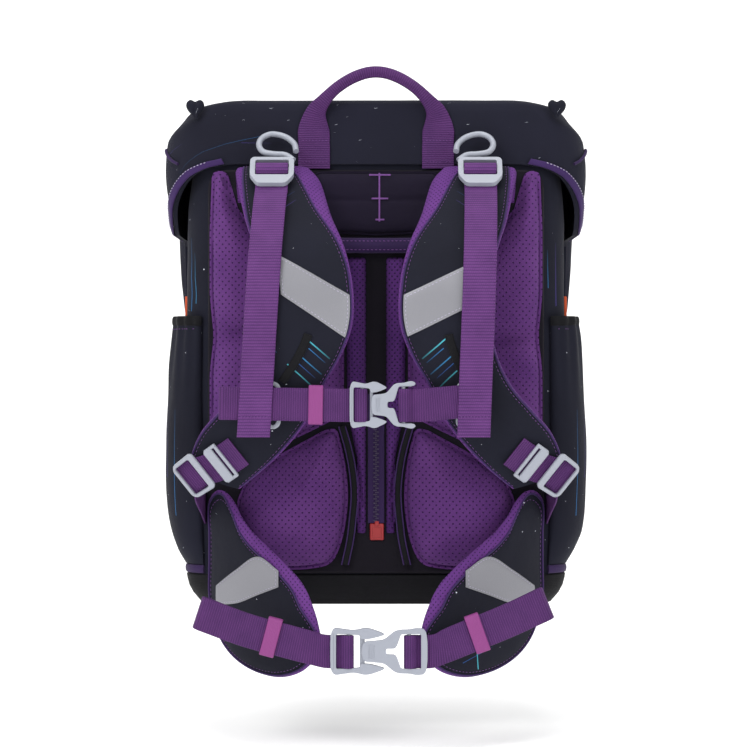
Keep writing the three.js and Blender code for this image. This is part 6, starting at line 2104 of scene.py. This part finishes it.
class StrapEnd:
    """Sewn tab, adjuster, frame and the webbing back to the bag's side."""

    PLACE = (0.9, 0.42)
    TURN = math.radians(52)
    LAYER = GAP + WEB_THICK / 2
    FRAME_PLACE = 23.4
    FRAME_DROP = 4.2
    FOOT = 76.0

    def __init__(self, form: StrapForm) -> None:
        """Args: form: of the strap that it hangs on."""
        self.side = form.side
        share, across = self.PLACE[0], [self.PLACE[1]]
        facing = form.facing(share, across)[0]
        along = np.array([self.side.value * math.sin(self.TURN), 0.0, -math.cos(self.TURN)])
        along = unit(along - facing * along.dot(facing))
        self.along, self.facing = along, facing
        self.drop = np.cross(facing, along) * self.side.value
        self.origin = form.spots(share, across, 1.0, GAP)[0]
        self.axes = np.array([along, -facing, np.cross(facing, along)])

    def at(self, along: float, drop: float, out: float) -> Array:
        """Returns a place by distances along the webbing, across it and out from the strap."""
        return self.origin + self.along * along + self.drop * drop + self.facing * out

    def build(self) -> None:
        """Makes the strap end's pieces."""
        rest, room = self.LAYER + WEB_THICK / 2 + GAP, WEB_ROOM / 2
        plate = [(-2.0, 16), (5.6, 15), (5.6, -15), (-2.0, -16)]
        block = Block().slab(rounded(plate, 2.4), -3.6, -0.2, 1.3)
        block.brick((2.6, 2.6, 31.5), (-4.8, -1.3, 0), 0.8)
        for end in (-1, 1):
            block.brick((10.4, 3.2, 2.6), (-0.8, -1.4, end * (room + 1.2)), 0.8)
        piece = block.done(f"end_adjuster_{self.side}", PLASTIC, self.at(0, 0, rest), self.axes)
        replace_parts(piece, f"strap_adjuster_{self.side}")
        upper = [(-10.2, 14.5), (-8, 16.5), (7.6, 15.6), (10.3, 12)]
        outline = upper[1:] + [(x, -z) for x, z in upper[::-1]] + upper[:1]
        window = [(-5.2, room), (7.7, room - 0.6), (7.7, -room + 0.6), (-5.2, -room)]
        block = Block().slab(rounded(outline, 2.6), -3.6, 0, 1.1, rounded(window, 1.5))
        place = self.at(self.FRAME_PLACE, self.FRAME_DROP, rest)
        piece = block.done(f"end_frame_{self.side}", PLASTIC, place, self.axes)
        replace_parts(piece, f"strap_frame_{self.side}")
        self.webbing()

    def webbing(self) -> None:
        """Tab and webbing down to the side of the bag."""
        side, layer, place, fall = self.side.value, self.LAYER, self.FRAME_PLACE, self.FRAME_DROP
        flat = [(-16, -1), (-8, 0), (6, 0), (12, 1.5), (place - 6, fall - 0.7), (place + 6, fall)]
        stations = [(self.at(a, d, layer), self.drop) for a, d in flat]
        upright = np.array([0.0, 0.0, 1.0])
        for a, out, turn in ((8.2, 0.5, 0), (9.6, -1.6, 0.05), (9.6, -4.6, 0.15), (7.6, -9, 0.35)):
            stations.append((self.at(place + a, fall, out), self.drop + (upright - self.drop) * turn))
        for x, y, rise, turn in ((9, -34, 19, 0.8), (4, -18, 8, 1), (2.5, 2.2, 0, 1)):
            spot = np.array([side * (BOARD.half + x), y, self.FOOT + rise])
            stations.append((spot, self.drop + (upright - self.drop) * turn))
        both = Curve([np.concatenate(station) for station in stations]).spaced(150)
        piece = ribbon(f"end_webbing_{self.side}", both[:, :3], both[:, 3:], PURPLE_WEB)
        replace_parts(piece, f"lower_webbing_{self.side}")
        for along in (-13.5, -10.5, -7.5):
            line = np.array([self.at(along, d, layer + 0.95) for d in np.linspace(-11, 11, 14)])
            stitches(f"end_stitches_{self.side}_{int(-along)}", line, PURPLE_THREAD, 2.2, 0.32)
        patch = np.array([self.at(a, -0.5, layer + 0.8) for a in np.linspace(-17, -4.5, 12)])
        ribbon(f"end_tab_{self.side}", patch, self.drop, PURPLE_WEB, width=26, thick=1.4)


# Hip fins


FIN_SPAN = 89.0
FIN_THICK = 11.0
FIN_ROOT = 131.0
# The fin's outline from its root, as shares of its span
FIN_ROWS = (
    (0.08, 1.02), (0.0, 0.93), (0.0, 0.66), (0.0, 0.4), (0.0, 0.085), (0.043, -0.115), (0.134, -0.312),
    (0.275, -0.454), (0.463, -0.54), (0.656, -0.557), (0.828, -0.498), (0.938, -0.392), (1.0, -0.25),
    (0.98, -0.09), (0.928, 0.075), (0.85, 0.242), (0.738, 0.371), (0.544, 0.547), (0.38, 0.691),
    (0.268, 0.838), (0.205, 0.955), (0.15, 1.01),
)


class HipFin:
    """Padded fin that swings towards the wearer, with a reflective patch."""

    def __init__(self, side: Side) -> None:
        """Args: side: of the bag."""
        self.side = side
        self.span = FIN_SPAN * (1.1 if side is Side.RIGHT else 1.0)

    def at(self, inward: float, up: float, lift: float) -> Array:
        """Returns a place near the fin's middle surface, by shares of its span."""
        slope = (self.swing(inward + 0.01) - self.swing(inward - 0.01)) / 0.02 / self.span
        facing = unit(np.array([self.side.value * slope, -1.0, 0.0]))
        x, y = self.side.value * (FIN_ROOT - inward * self.span), -(BOARD.seat + 0.6 + self.swing(inward))
        return np.array([x, y, up * FIN_SPAN]) + facing * lift

    @staticmethod
    def swing(inward: float) -> float:
        """Returns how far the fin has come towards the wearer."""
        return FIN_SPAN * (inward + 0.06 * math.sin(math.pi * min(max(inward, 0), 1)))

    @staticmethod
    def root(inward: float) -> float:
        """Returns how full the fin is, which is less at its root."""
        return 0.45 + 0.55 * smooth(inward, -0.1, 0.25)

    def build(self) -> None:
        """Makes the fin, its piping and its patch."""
        edge = Curve(FIN_ROWS, closed=True).spaced(120)
        band = np.array([0.97 - 0.15 * smooth(z, -0.2, 0.1) * smooth(x, 0.12, 0.3) for x, z in edge])
        rear = [0.1, 0.3, 0.5, 0.7, 0.84, 0.92, 0.96, 0.985, 0.998]
        steps, face = 5, 11
        rings = [self._ring(edge, np.full(len(edge), size), -1) for size in rear]
        rings += [self._ring(edge, 1 + (band - 1) * k / steps, seam=k == steps) for k in range(steps + 1)]
        rings += [self._ring(edge, band * (1 - k / (face + 0.6))) for k in range(1, face + 1)]
        first = len(rear) + steps
        piece = skin(
            f"fin_{self.side}",
            np.array(rings),
            [FIN_CLOTH, EDGE_MESH],
            flat_map=True,
            pick=lambda row, column: 0 if row >= first else 1,
            sharp=75,
        )
        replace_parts(piece, f"hip_fin_{self.side}")
        rod(f"fin_piping_{self.side}", self._ring(edge, band), TRIM, 0.8, looped=True, sides=8)
        inner = self._ring(edge, band - 0.05)
        sewn = np.concatenate([inner, inner[:1]]) + [0, -0.25, 0]
        stitches(f"fin_stitches_{self.side}", sewn, PURPLE_THREAD, 3.4, 0.24)
        self.patch()

    def _ring(self, edge: Array, sizes: Array, way: int = 1, seam: bool = False) -> Array:
        """Lays a ring of the outline on one face of the fin.

        Args:
            edge: outline in the fin's inward and up shares.
            sizes: share of the way from the centre to each point.
            way: 1 for the outer face and -1 for the inner one.
            seam: whether the ring lies in the sewn seam.
        Returns:
            The ring's points.
        """
        centre, points = np.array([0.5, 0.0]), []
        for spot, size in zip(edge, sizes):
            inward, up = centre + (spot - centre) * size
            puff = max(1 - min(size, 1.0) ** 5, 0.0) ** 0.45
            height = FIN_THICK / 2 * self.root(inward) * puff - (0.7 if seam else 0.0)
            points.append(self.at(inward, up, way * height))
        return np.array(points)

    def patch(self) -> None:
        """Reflective patch above the belt."""
        rows = Rows((0.12, 0.19, 0.02), (0.3, 0.34, 0.05), (0.5, 0.47, 0.14), (0.68, 0.36, 0.22))
        face = FIN_THICK / 2

        def place(inward: float, share: float, lift: float) -> Array:
            """Point of the patch on the fin's face."""
            high, low = rows.read(inward, 1), rows.read(inward, 2)
            return self.at(inward, high + (low - high) * share, lift)

        levels = (face + 0.75, face + 0.1)
        columns = np.linspace(0.12, 0.68, 24)
        piece = film(f"fin_patch_{self.side}", columns, np.linspace(0, 1, 12), place, levels)
        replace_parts(piece, f"hip_reflector_{self.side}")
        line, places = [], np.linspace(0.14, 0.66, 20)
        for column, shift, way in ((1, -0.018, 1), (2, 0.018, -1)):
            line += [self.at(i, rows.read(i, column) + shift, face + 0.9) for i in places[::way]]
        stitches(f"fin_patch_stitches_{self.side}", np.array(line), THREAD, 3.0, 0.24)


# Studio


@dataclass(frozen=True)
class Studio:
    """Pale floor, soft lights and the camera."""

    floor: float = -0.520
    distance: float = 2.2
    lens: float = 134.7

    def build(self) -> None:
        """Makes the floor, the lights, the world and the camera."""
        self.backdrop()
        self.area("key_light", (-1.5, -2.4, 1.7), 1.3, 44, (0.0, 0.0, -0.25))
        self.area("fill_light", (1.9, -2.2, 0.3), 1.8, 13, (0.0, 0.0, -0.25))
        self.area("top_light", (0.0, -0.5, 2.1), 1.2, 26, (0.0, 0.0, -0.2))
        world = bpy.data.worlds.new("studio")
        world.use_nodes = True
        sky = world.node_tree.nodes["Background"]
        sky.inputs["Color"].default_value = (1, 1, 1, 1)
        sky.inputs["Strength"].default_value = 0.6
        bpy.context.scene.world = world
        bpy.context.scene.view_settings.view_transform = "Standard"
        self.camera()

    def backdrop(self) -> None:
        """Floor that curves up into a plain wall behind."""
        material = bpy.data.materials.new("studio_floor")
        material.use_nodes = True
        shader = material.node_tree.nodes["Principled BSDF"]
        shader.inputs["Base Color"].default_value = (0.93, 0.93, 0.93, 1)
        shader.inputs["Roughness"].default_value = 0.9
        shader.inputs["Emission Color"].default_value = (1, 1, 1, 1)
        shader.inputs["Emission Strength"].default_value = 0.35
        bm = bmesh.new()
        bmesh.ops.create_grid(bm, x_segments=2, y_segments=48, size=0.5)
        flat, radius = 2.0, 0.9
        quarter = math.pi / 2 * radius
        for vert in bm.verts:
            run = (vert.co.y + 0.5) * 9.0 - 3.5 - flat
            bend = min(max(run, 0), quarter) / radius
            y = min(run + flat, flat) + radius * math.sin(bend)
            z = self.floor + radius * (1 - math.cos(bend)) + max(run - quarter, 0)
            vert.co = Vector((vert.co.x * 12, y, z))
        floor = add("studio_floor", smooth_mesh(bm, "studio_floor", [material]))
        floor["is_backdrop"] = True

    def area(self, name: str, place: Triple, size: float, power: float, aim: Triple) -> None:
        """Adds a square light."""
        data = bpy.data.lights.new(name, "AREA")
        data.size, data.energy = size, power
        lamp = add(name, data)
        lamp.location = place
        lamp.rotation_euler = (Vector(aim) - Vector(place)).to_track_quat("-Z", "Y").to_euler()

    def camera(self) -> None:
        """Adds the camera, level with the bag's middle."""
        data = bpy.data.cameras.new("camera")
        data.lens, data.sensor_width = self.lens, 36.0
        camera = add("camera", data)
        camera.location = (-0.002, ORIGIN[1] * MM - self.distance, (182 + ORIGIN[2]) * MM)
        camera.rotation_euler = (math.pi / 2, 0, 0)
        bpy.context.scene.camera = camera


def note_sizes(stage: str, found: Dict[str, object]) -> None:
    """Args:
        stage: name of this reading.
        found: readings so far, which this one joins.
    """
    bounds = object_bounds()
    found[stage] = [list(corner) for corner in bounds]


def main() -> None:
    """Builds the backpack and its studio."""
    logging.basicConfig(level=logging.INFO, format="%(message)s")
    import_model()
    sizes: Dict[str, object] = {}
    note_sizes("loaded", sizes)
    Bag(BagSizes()).build()
    PaddedBack().build()
    chest = ChestStrap()
    for side in Side:
        form = StrapForm(side)
        ShoulderStrap(form).build()
        LoadAdjuster(form, HookSizes(), chest.plane).build()
        StrapEnd(form).build()
        HipFin(side).build()
    chest.build()
    HipBelt().build()
    Studio().build()
    note_sizes("finished", sizes)


if __name__ == "__main__":
    main()
